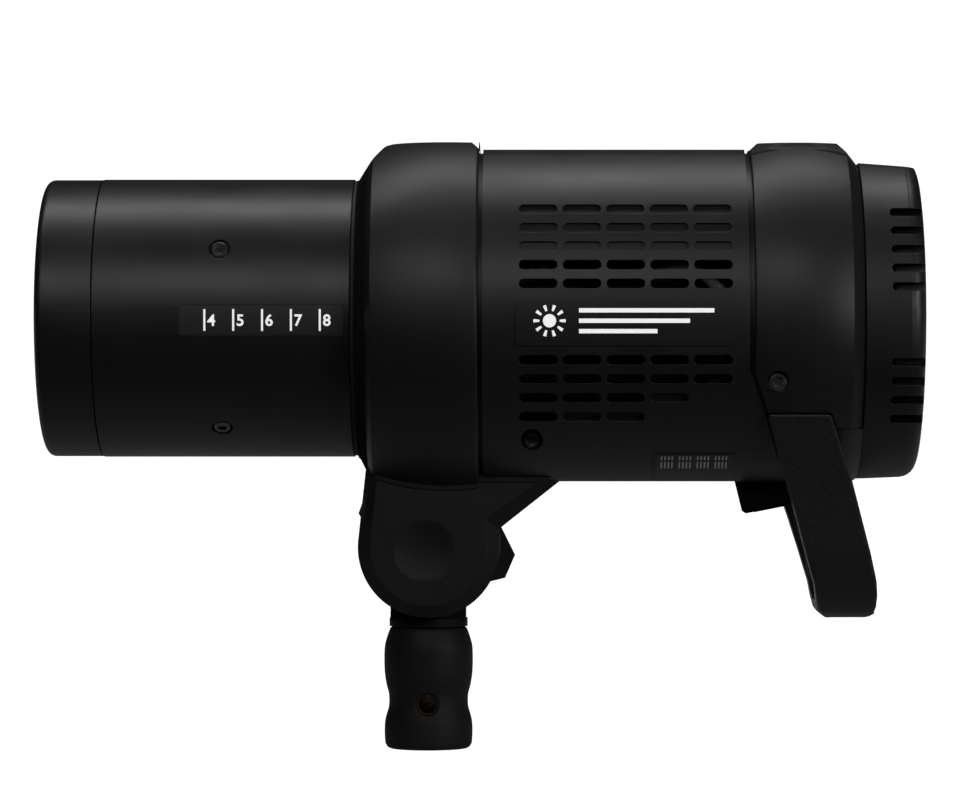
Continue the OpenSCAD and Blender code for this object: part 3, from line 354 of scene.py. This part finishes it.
def dark_display(name):
    """Nearly black display face with a fine pixel grid."""
    s = Shader(name)
    grid = s.node("ShaderNodeTexChecker", {"Vector": s.coords, "Scale": 2500.0}).outputs["Fac"]
    base = s.mix(grid, rgb(0.004, 0.007, 0.009), rgb(0.007, 0.011, 0.013))
    return s.surface(Base_Color=base, Roughness=0.2, Normal=s.bump(s.noise(size_mm=2), 0.003))


def glowing(name, colour, strength):
    """Lit display segments, slightly uneven."""
    s = Shader(name)
    flicker = s.ramp(s.noise(size_mm=0.8, detail=1.0), 0.2, 0.8, strength * 0.85, strength)
    return s.surface(Base_Color=colour, Emission_Color=colour, Emission_Strength=flicker,
                     Roughness=0.4)


# ---------------------------------------------------------------- materials of the CAD nodes
GRIP_END = AXIS_Z - 83 * MM        # the handle is smooth below this height
SHROUD_TOP = AXIS_Z - 58.4 * MM    # the mains inlet's shroud lies below this height
COLLAR_FACE = -20.5 * MM           # the front collar's shaded front end lies before this place

tube_paint = coating("tube_paint", tone=0.0105, rough=0.40, grain_mm=0.35, grain_depth=0.006,
                     edge_mm=0.4)
collar_paint = coating("collar_paint", tone=0.0115, rough=0.45, grain_mm=0.55, grain_depth=0.03,
                       edge_mm=0.6, dark_before=COLLAR_FACE)
shell_plastic = coating("shell_plastic", tone=0.0115, rough=0.43, grain_mm=0.4,
                        grain_depth=0.010, edge_mm=0.3)
base_plastic = coating("base_plastic", tone=0.0115, rough=0.43, grain_mm=0.4, grain_depth=0.010,
                       edge_mm=0.3, dull_below=SHROUD_TOP)
cap_plastic = coating("cap_plastic", tone=0.011, rough=0.44, grain_mm=0.45, grain_depth=0.014,
                      edge_mm=0.4)
bracket_paint = coating("bracket_paint", tone=0.0065, rough=0.56, grain_mm=0.6, grain_depth=0.03,
                        edge_mm=0.5, specular=0.35, blotch=0.25)
socket_paint = coating("socket_paint", tone=0.012, rough=0.58, grain_mm=0.8, grain_depth=0.03,
                       edge_mm=0.5, wear=0.4, specular=0.2)
tongue_paint = coating("tongue_paint", tone=0.007, rough=0.6, grain_mm=0.8, grain_depth=0.03,
                       edge_mm=0.5, specular=0.15)
knob_plastic = coating("knob_plastic", tone=0.011, rough=0.5, grain_mm=0.5, grain_depth=0.02)
grip_plastic = moulded_grip("grip_plastic", GRIP_END)
black_screw = coating("black_screw", tone=0.14, rough=0.26, grain_mm=0.3, grain_depth=0.004,
                      metallic=0.9, wear=0.7, edge_mm=0.25)
film = printed_film("label_film", tone=0.013, rough=0.42)
scale_film = printed_film("scale_film", tone=0.03, rough=0.42)
brass_dark = bare_metal("aged_brass", rgb(0.10, 0.07, 0.035), 0.4)
panel_film = printed_film("panel_film", tone=0.015, rough=0.42)
soft_rubber = rubber("soft_rubber")
dark_steel = coating("dark_steel", tone=0.016, rough=0.34, grain_mm=0.5, grain_depth=0.006,
                     metallic=0.6)
zinc = bare_metal("zinc", rgb(0.55, 0.55, 0.56), 0.32)
alloy = bare_metal("alloy", rgb(0.62, 0.63, 0.65), 0.3, brush=(0.15, 1.0, 1.0))
mirror_alloy = bare_metal("mirror_alloy", rgb(0.85, 0.85, 0.86), 0.14, brush_mm=0.6, depth=0.002)
brass = bare_metal("brass", rgb(0.62, 0.42, 0.16), 0.28)
white_ceramic = ceramic("white_ceramic")
clear_glass = glass("clear_glass", 0.02, rgb(0.96, 0.97, 0.98), ripple_mm=14, ripple_depth=0.02)
frosted_glass = glass("frosted_glass", 0.28, rgb(0.93, 0.95, 0.96), ripple_mm=0.5,
                      ripple_depth=0.03)
gloss_plastic = coating("gloss_plastic", tone=0.009, rough=0.16, grain_mm=0.8, grain_depth=0.002,
                        edge_mm=0.3)
board = circuit_board("circuit_board")
copper_wire = winding("copper_wire")
cap_sleeve = sleeve("capacitor_sleeve")
display_dark = dark_display("display_dark")
white_ink = ink("white_ink", level=0.85, glow=0.75)
grey_ink = ink("grey_ink", level=0.32, glow=0.1)

NODE_MATERIALS = {
    tube_paint: ["front_ring", "barrel"],
    collar_paint: ["front_collar", "rear_collar"],
    shell_plastic: ["housing_left", "housing_right"],
    base_plastic: ["rear_base"],
    cap_plastic: ["rear_cap"],
    bracket_paint: ["stand_bracket"],
    socket_paint: ["stand_socket"],
    tongue_paint: ["tilt_tongue"],
    knob_plastic: ["tilt_lever", "lock_knob", "umbrella_screw", "fan_frame", "fan_rotor"],
    grip_plastic: ["handle"],
    black_screw: ["case_screws"],
    film: ["name_plates", "rating_label"],
    scale_film: ["barrel_scale"],
    panel_film: ["control_panel"],
    soft_rubber: ["collar_gasket", "friction_washers", "dial", "button_test", "button_model",
                  "button_sync", "button_menu"],
    zinc: ["glass_retainer", "bracket_screws", "tilt_bolt", "tilt_nut", "lock_screw",
           "sync_socket"],
    dark_steel: ["capacitor_clamp"],
    alloy: ["lamp_plate", "heat_shield", "umbrella_tube", "chassis_frame", "heatsink"],
    mirror_alloy: ["reflector"],
    brass: ["lock_pad", "inlet_pins"],
    brass_dark: ["socket_insert"],
    white_ceramic: ["tube_socket", "lamp_holder"],
    clear_glass: ["flash_tube", "modeling_lamp", "display_window", "photocell"],
    frosted_glass: ["front_glass"],
    gloss_plastic: ["mains_inlet", "power_switch"],
    board: ["power_board", "control_board"],
    copper_wire: ["transformer", "trigger_coil"],
    cap_sleeve: ["capacitors"],
    display_dark: ["display"],
}


# ---------------------------------------------------------------- shading and edges of CAD nodes
SMOOTH_TO_DEG = 28       # edges that turn less than this are shaded smooth
ROUND_FROM_DEG = 32      # edges that turn more than this are rounded
FLAT_TO_DEG = 0.6        # faces that turn less than this are joined before the rounding
WELD_MM = 0.002          # corners nearer than this are one
UNCLAMPED_MM = 1         # roundings from this width on may run past a short edge


def smooth_group():
    """Geometry nodes that shade smooth and keep only edges over the limit sharp."""
    group = bpy.data.node_groups.new("smooth_by_angle", "GeometryNodeTree")
    group.interface.new_socket("Geometry", in_out="INPUT", socket_type="NodeSocketGeometry")
    limit = group.interface.new_socket("Limit", in_out="INPUT", socket_type="NodeSocketFloat")
    limit.default_value = math.radians(SMOOTH_TO_DEG)
    group.interface.new_socket("Geometry", in_out="OUTPUT", socket_type="NodeSocketGeometry")
    nodes, links = group.nodes, group.links
    start = nodes.new("NodeGroupInput")
    end = nodes.new("NodeGroupOutput")
    angle = nodes.new("GeometryNodeInputMeshEdgeAngle")
    flat = nodes.new("FunctionNodeCompare")
    flat.operation = "LESS_EQUAL"
    links.new(angle.outputs["Unsigned Angle"], flat.inputs[0])
    links.new(start.outputs["Limit"], flat.inputs[1])
    faces = nodes.new("GeometryNodeSetShadeSmooth")
    edges = nodes.new("GeometryNodeSetShadeSmooth")
    edges.domain = "EDGE"
    links.new(start.outputs["Geometry"], faces.inputs["Geometry"])
    links.new(faces.outputs[0], edges.inputs["Geometry"])
    links.new(flat.outputs[0], edges.inputs["Shade Smooth"])
    links.new(edges.outputs[0], end.inputs[0])
    return group


SMOOTH = smooth_group()

# edge rounding in millimetres of the nodes whose plain CAD edges would look too sharp
ROUNDED = {"handle": 1.4, "stand_bracket": 0.5, "tilt_lever": 0.8, "rear_collar": 0.4,
           "front_collar": 0.4, "tilt_tongue": 0.5, "lock_knob": 0.7, "umbrella_screw": 0.3}


def finish_node(obj, width_mm):
    """Shares corners, rounds edges when a width is given, and shades smooth."""
    weld = obj.modifiers.new("shared_corners", "WELD")
    weld.merge_threshold = WELD_MM * MM
    if width_mm:
        merged = obj.modifiers.new("whole_faces", "DECIMATE")
        merged.decimate_type = "DISSOLVE"
        merged.angle_limit = math.radians(FLAT_TO_DEG)
        bevel = obj.modifiers.new("edges", "BEVEL")
        bevel.width = width_mm * MM
        bevel.segments = 4
        bevel.limit_method = "ANGLE"
        bevel.angle_limit = math.radians(ROUND_FROM_DEG)
        bevel.use_clamp_overlap = width_mm < UNCLAMPED_MM
        bevel.miter_outer = "MITER_ARC"
    smooth = obj.modifiers.new("smooth", "NODES")
    smooth.node_group = SMOOTH
    weighted = obj.modifiers.new("normals", "WEIGHTED_NORMAL")
    weighted.keep_sharp = True
    weighted.weight = 60


for material, names in NODE_MATERIALS.items():
    for name in names:
        obj = NODES[name]
        obj.data.materials.clear()
        obj.data.materials.append(material)
        finish_node(obj, ROUNDED.get(name, 0.0))


# ---------------------------------------------------------------- mesh tools for added pieces
PRINT_THICK = 0.03 * MM
FILM_PRINT_THICK = 0.02 * MM
CUT_STEP = 0.0009        # height of the strips that a print is cut into so that it can bend
TINY = 1e-7


def add_piece(name, data, material):
    """A mesh or a curve as a piece that rides on the head."""
    obj = bpy.data.objects.new(name, data)
    bpy.context.scene.collection.objects.link(obj)
    data.materials.clear()
    data.materials.append(material)
    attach(obj, "head")


def text_outline(text, height, place):
    """Bold digits as (points, faces), with the lower left corner at place."""
    digit_share = 0.7    # height of a digit in a font of size 1
    boldness = 0.03
    curve = bpy.data.curves.new("digits", "FONT")
    curve.body = text
    curve.size = height / digit_share
    curve.offset = height * boldness
    holder = bpy.data.objects.new("digits", curve)
    bpy.context.scene.collection.objects.link(holder)
    bpy.context.view_layer.update()
    mesh = bpy.data.meshes.new_from_object(holder.evaluated_get(
        bpy.context.evaluated_depsgraph_get()))
    points = [(v.co.x + place[0], v.co.y + place[1]) for v in mesh.vertices]
    faces = [tuple(p.vertices) for p in mesh.polygons]
    bpy.data.objects.remove(holder)
    return points, faces


def bar(x0, x1, z0, z1):
    """Upright rectangle as (points, faces)."""
    return [(x0, z0), (x1, z0), (x1, z1), (x0, z1)], [(0, 1, 2, 3)]


def disc_part(cx, cz, r, start=0.0, end=360.0, inner=0.0, steps=32):
    """Ring sector as (points, faces), or a filled sector when inner is 0."""
    angles = [math.radians(start + (end - start) * i / steps) for i in range(steps + 1)]
    points = [(cx + r * math.cos(a), cz + r * math.sin(a)) for a in angles]
    points += [(cx + inner * math.cos(a), cz + inner * math.sin(a)) for a in angles]
    faces = [(i, i + 1, steps + 2 + i, steps + 1 + i) for i in range(steps)]
    return points, faces


def print_mesh(name, shapes, place, thickness):
    """Thin solid print: flat shapes are cut fine, then place(x, z, lift) puts them on a surface."""
    bm = bmesh.new()
    for points, faces in shapes:
        verts = [bm.verts.new((x, 0, z)) for x, z in points]
        for face in faces:
            bm.faces.new([verts[i] for i in face])
    bmesh.ops.remove_doubles(bm, verts=bm.verts, dist=TINY)
    bmesh.ops.dissolve_degenerate(bm, dist=TINY, edges=bm.edges)
    # cut across the direction that the surface bends in
    low = min(v.co.z for v in bm.verts)
    high = max(v.co.z for v in bm.verts)
    for i in range(1, int((high - low) / CUT_STEP) + 1):
        geometry = bm.verts[:] + bm.edges[:] + bm.faces[:]
        bmesh.ops.bisect_plane(bm, geom=geometry, plane_co=(0, 0, low + i * CUT_STEP),
                               plane_no=(0, 0, 1), dist=TINY)
    flat = {v: (v.co.x, v.co.z) for v in bm.verts}
    top = {v: bm.verts.new(place(x, z, thickness)) for v, (x, z) in flat.items()}
    edge_faces = [e for e in bm.edges if e.is_boundary]
    for face in list(bm.faces):
        bm.faces.new([top[v] for v in face.verts])
    for edge in edge_faces:
        a, b = edge.verts
        bm.faces.new([a, b, top[b], top[a]])
    for v, (x, z) in flat.items():
        v.co = place(x, z, 0.0)
    bmesh.ops.recalc_face_normals(bm, faces=bm.faces)
    mesh = bpy.data.meshes.new(name)
    bm.to_mesh(mesh)
    bm.free()
    return mesh


def on_cylinder(radius, side):
    """Puts (x along the body, z from the axis) on a cylinder round the optical axis."""
    def place(x, z, lift):
        r = radius + lift
        return (x, side * math.sqrt(max(r * r - z * z, 0)), AXIS_Z + z)
    return place


def on_panel(x_face):
    """Puts (y, z from the axis) on a plane that faces the rear."""
    def place(y, z, lift):
        return (x_face + lift, y, AXIS_Z + z)
    return place


# ---------------------------------------------------------------- zoom scale on the tube
def zoom_scale():
    """Five marks with the digits 4 to 8 on the inlaid scale."""
    low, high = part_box("barrel_scale")
    mid = (low.z + high.z) / 2 - AXIS_Z
    first = low.x + 8.75 * MM
    pitch = 10.08 * MM
    tick_w = 0.7 * MM
    tick_h = 7.6 * MM
    digit_h = 3.9 * MM
    digit_x = 1.05 * MM
    sunk = 0.05 * MM
    shapes = []
    for i, digit in enumerate("45678"):
        x = first + i * pitch
        shapes.append(bar(x - tick_w / 2, x + tick_w / 2, mid - tick_h / 2, mid + tick_h / 2))
        shapes.append(text_outline(digit, digit_h, (x + digit_x, mid - digit_h / 2)))
    mesh = print_mesh("zoom_marks", shapes, on_cylinder(TUBE_R - sunk, -1), PRINT_THICK)
    add_piece("zoom_marks", mesh, white_ink)


# ---------------------------------------------------------------- generic marks on the side
def plate_marks():
    """A plain lamp-and-rays mark with three bars, drawn on both side plates."""
    low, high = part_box("name_plates")
    mid_z = (low.z + high.z) / 2 - AXIS_Z
    length = high.x - low.x
    lamp_x = low.x + length * 0.155
    lamp_r = 2.3 * MM
    ray_from, ray_to = 3.5 * MM, 5.6 * MM
    rays, ray_half_deg = 10, 6
    bars_x = low.x + length * 0.29
    bars_length = length * 0.62
    bar_h, bar_pitch = 1.5 * MM, 3.6 * MM
    shapes = [disc_part(lamp_x, mid_z, lamp_r, steps=40)]
    for i in range(rays):
        a = 360.0 / rays * i
        shapes.append(disc_part(lamp_x, mid_z, ray_to, a - ray_half_deg, a + ray_half_deg,
                                ray_from, steps=4))
    for row, share in enumerate((1.0, 0.82, 0.58)):
        z = mid_z + (1 - row) * bar_pitch
        shapes.append(bar(bars_x, bars_x + share * bars_length, z - bar_h / 2, z + bar_h / 2))
    for side, name in ((-1, "plate_mark_left"), (1, "plate_mark_right")):
        mesh = print_mesh(name, shapes, on_cylinder(PLATE_R, side), PRINT_THICK)
        add_piece(name, mesh, white_ink)


def rating_marks():
    """Upright lines of plain bars where a rating label has its small print."""
    low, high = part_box("rating_label")
    floor_z = low.z - AXIS_Z + 2.3 * MM
    roof_z = high.z - AXIS_Z - 0.7 * MM
    bar_w = 0.5 * MM
    bar_gap = 0.7 * MM
    shortest, longer_by, lengths = 1.3, 0.5, 5
    line_pitch, group_gap, group = 1.25, 2.6, 4
    shapes = []
    x = low.x + 2.0 * MM
    line = 0
    while x < high.x - 2.4 * MM:
        z = roof_z
        count = 0
        while True:
            length = (shortest + ((line * 5 + count * 7) % lengths) * longer_by) * MM
            if z - length < floor_z:
                break
            shapes.append(bar(x, x + bar_w, z - length, z))
            z -= length + bar_gap
            count += 1
        line += 1
        x += (line_pitch if line % group else group_gap) * MM
    radius = HOUSING_R + 0.27 * MM
    mesh = print_mesh("rating_marks", shapes, on_cylinder(radius, -1), FILM_PRINT_THICK)
    add_piece("rating_marks", mesh, grey_ink)


# ---------------------------------------------------------------- control panel print and display
def panel_print():
    """A scale round the dial, rings round the buttons and two signs beside the rocker."""
    marks, mark_pitch_deg, mark_half_deg = 21, 15, 0.9
    mark_from, mark_to, long_mark_to = 16.3 * MM, 17.4 * MM, 18.2 * MM
    shapes = []
    dial_z = centre("dial").z - AXIS_Z
    for i in range(marks):
        a = 240 - i * mark_pitch_deg
        outer = long_mark_to if i % 5 == 0 else mark_to
        shapes.append(disc_part(0, dial_z, outer, a - mark_half_deg, a + mark_half_deg,
                                mark_from, steps=2))
    for node in ("button_test", "button_model", "button_sync", "button_menu"):
        spot = centre(node)
        shapes.append(disc_part(spot.y, spot.z - AXIS_Z, 6.6 * MM, inner=6.2 * MM, steps=40))
    rocker_z = centre("power_switch").z - AXIS_Z
    shapes.append(bar(-8.2 * MM, -7.8 * MM, rocker_z - 9.6 * MM, rocker_z - 7.4 * MM))
    shapes.append(disc_part(8 * MM, rocker_z - 8.5 * MM, 1.2 * MM, inner=0.8 * MM, steps=20))
    mesh = print_mesh("panel_marks", shapes, on_panel(PANEL_X), PRINT_THICK)
    add_piece("panel_marks", mesh, white_ink)


def display_digits():
    """A power value and a row of six blocks on the display."""
    low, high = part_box("display")
    mid = (low.z + high.z) / 2 - AXIS_Z
    shapes = [text_outline("8.0", 11 * MM, (-9.5 * MM, mid - 5.5 * MM))]
    for i in range(6):
        shift = i * 3.4 * MM
        shapes.append(bar(-18 * MM + shift, -15.4 * MM + shift, mid + 8 * MM, mid + 10 * MM))
    mesh = print_mesh("display_digits", shapes, on_panel(high.x), FILM_PRINT_THICK)
    glow = glowing("display_glow", rgb(0.7, 0.85, 1.0), 1.2)
    add_piece("display_digits", mesh, glow)


# ---------------------------------------------------------------- wires and inner details
def wire(name, points, radius, material):
    """Round wire along a smooth curve through the points."""
    curve = bpy.data.curves.new(name, "CURVE")
    curve.dimensions = "3D"
    curve.bevel_depth = radius
    curve.bevel_resolution = 3
    curve.use_fill_caps = True
    spline = curve.splines.new("BEZIER")
    spline.bezier_points.add(len(points) - 1)
    for point, place in zip(spline.bezier_points, points):
        point.co = place
        point.handle_left_type = point.handle_right_type = "AUTO"
    add_piece(name, curve, material)


def wiring():
    """Leads from the capacitors to the power board and from the trigger coil to the capacitors."""
    dark = coating("wire_dark", tone=0.02, rough=0.4, grain_mm=1.0, grain_depth=0.004)
    capacitors_low, capacitors_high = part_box("capacitors")
    board_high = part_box("power_board")[1]
    lead_r = 0.9 * MM
    lead_z = AXIS_Z + 19.5 * MM
    for i, y in enumerate((-25.5, -13.5, 13.5, 25.5)):
        start = Vector((capacitors_high.x - 1 * MM, y * MM, lead_z))
        end = Vector((board_high.x - 6 * MM, y * 0.6 * MM, board_high.z - 1 * MM))
        middle = (start + end) / 2 + Vector((9 * MM, (6 if y > 0 else -6) * MM, 0))
        wire("capacitor_lead_%d" % i, [start, start + Vector((4 * MM, 0, 0)), middle, end],
             lead_r, dark if i % 2 else soft_rubber)
    coil_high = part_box("trigger_coil")[1]
    coil_lead_r = 1.1 * MM
    for i, side in enumerate((-1, 1)):
        start = Vector((coil_high.x - 2 * MM, side * 8 * MM, AXIS_Z))
        wire("coil_lead_%d" % i,
             [start, start + Vector((8 * MM, side * 6 * MM, 5 * MM)),
              start + Vector((30 * MM, side * 10 * MM, -4 * MM)),
              Vector((capacitors_low.x - 2 * MM, side * 16 * MM, AXIS_Z))],
             coil_lead_r, soft_rubber)


def harness():
    """Cables that show behind the vents: a braided end, a black run, a pale sleeve, a return."""
    def run(name, points, radius, material):
        """Points and radius in millimetres, with the heights counted from the axis."""
        places = [Vector((x * MM, y * MM, AXIS_Z + z * MM)) for x, y, z in points]
        wire(name, places, radius * MM, material)

    run("harness_braid", [(26, -40.2, 10.5), (33, -42.5, 15.6), (46, -42.5, 15.8),
                          (49, -42, 14.6)], 1.6, braid("braid", 0.7))
    run("harness_core", [(48, -42, 14.6), (66, -42, 14.1), (82, -42, 15)], 1.0, soft_rubber)
    run("harness_sleeve", [(81, -42, 15.2), (92, -43.5, 16.6), (101, -43.5, 11.5), (107, -36, 1),
                           (106, -24, -12)], 2.3, coating("pale_sleeve", tone=0.5, rough=0.5))
    run("harness_return", [(97, -41, -28), (103, -42, -22.5), (109, -38, -16)], 2.6, soft_rubber)


zoom_scale()
plate_marks()
rating_marks()
panel_print()
display_digits()
wiring()
harness()


# ---------------------------------------------------------------- floor, light and camera
FLOOR_HALF = 12.0
FLOOR_Z = -0.1 * MM
# what the floor gives the object: dark in front of it, dim under it, full far behind it
UNDER_FROM_Y, UNDER_TO_Y = -0.18, 0.02
GLOW_IN_FRONT, GLOW_UNDER = 0.01, 0.15
BEHIND_FROM_Y, BEHIND_TO_Y = 0.4, 1.6
GLOW_BEHIND = 1.0
# what the sky gives the object: a brighter round patch straight behind it
PATCH_EDGE_DEG, PATCH_CORE_DEG = 9, 4
SKY_DIM, SKY_PATCH = 0.012, 0.35
# place from the middle of the head, size and power of each softbox
LIGHTS = {
    "overhead": ((-0.05, 0.2, 1.1), (1.3, 0.26), 5.4),
    "front_high": ((-0.25, -1.3, 0.74), (1.1, 0.36), 3.8),
    "right_front": ((1.15, -1.05, 0.3), (0.55, 0.3), 5.5),
}
LIT_X = 0.02
CAMERA_PLACE = (0.0404, -1.51, AXIS_Z - 0.03007)
CAMERA_SENSOR = 36
CAMERA_LENS = 156.8
CAMERA_SHIFT = (-0.06302, 0.000573)
CAMERA_FAR = 100


def studio_floor():
    """A wide sheet at the mouth of the stand socket."""
    bm = bmesh.new()
    corners = [bm.verts.new((x * FLOOR_HALF, y * FLOOR_HALF, FLOOR_Z))
               for x, y in ((-1, -1), (1, -1), (1, 1), (-1, 1))]
    bm.faces.new(corners)
    mesh = bpy.data.meshes.new("floor")
    bm.to_mesh(mesh)
    bm.free()
    s = Shader("floor_white")
    depth = s.axis("Y")
    near = s.ramp(depth, UNDER_FROM_Y, UNDER_TO_Y, GLOW_IN_FRONT, GLOW_UNDER)
    glow = s.ramp(depth, BEHIND_FROM_Y, BEHIND_TO_Y, near, GLOW_BEHIND)
    mesh.materials.append(
        s.white_to_camera("ShaderNodeEmission", glow, "ShaderNodeOutputMaterial"))
    floor = bpy.data.objects.new("floor", mesh)
    bpy.context.scene.collection.objects.link(floor)


def world():
    """A white sky, nearly dark to the object but for the patch behind it."""
    sky = bpy.data.worlds.new("studio")
    bpy.context.scene.world = sky
    s = Nodes(sky, "Generated")
    glow = s.ramp(s.axis("Y"), math.cos(math.radians(PATCH_EDGE_DEG)),
                  math.cos(math.radians(PATCH_CORE_DEG)), SKY_DIM, SKY_PATCH)
    s.white_to_camera("ShaderNodeBackground", glow, "ShaderNodeOutputWorld")


def lights():
    """Rectangular softboxes aimed at the middle of the head."""
    middle = Vector((LIT_X, 0, AXIS_Z))
    for name, (place, size, power) in LIGHTS.items():
        light = bpy.data.lights.new(name, "AREA")
        light.shape = "RECTANGLE"
        light.size, light.size_y = size
        light.energy = power
        obj = bpy.data.objects.new(name, light)
        obj.location = middle + Vector(place)
        obj.rotation_euler = (middle - obj.location).to_track_quat("-Z", "Y").to_euler()
        bpy.context.scene.collection.objects.link(obj)


def camera():
    """Level camera square to the left side."""
    data = bpy.data.cameras.new("camera")
    data.sensor_width = CAMERA_SENSOR
    data.lens = CAMERA_LENS
    data.shift_x, data.shift_y = CAMERA_SHIFT
    data.clip_end = CAMERA_FAR
    obj = bpy.data.objects.new("camera", data)
    obj.location = CAMERA_PLACE
    obj.rotation_euler = (math.radians(90), 0, 0)
    bpy.context.scene.collection.objects.link(obj)
    bpy.context.scene.camera = obj


world()
studio_floor()
lights()
camera()
bpy.context.scene.view_settings.view_transform = "Standard"
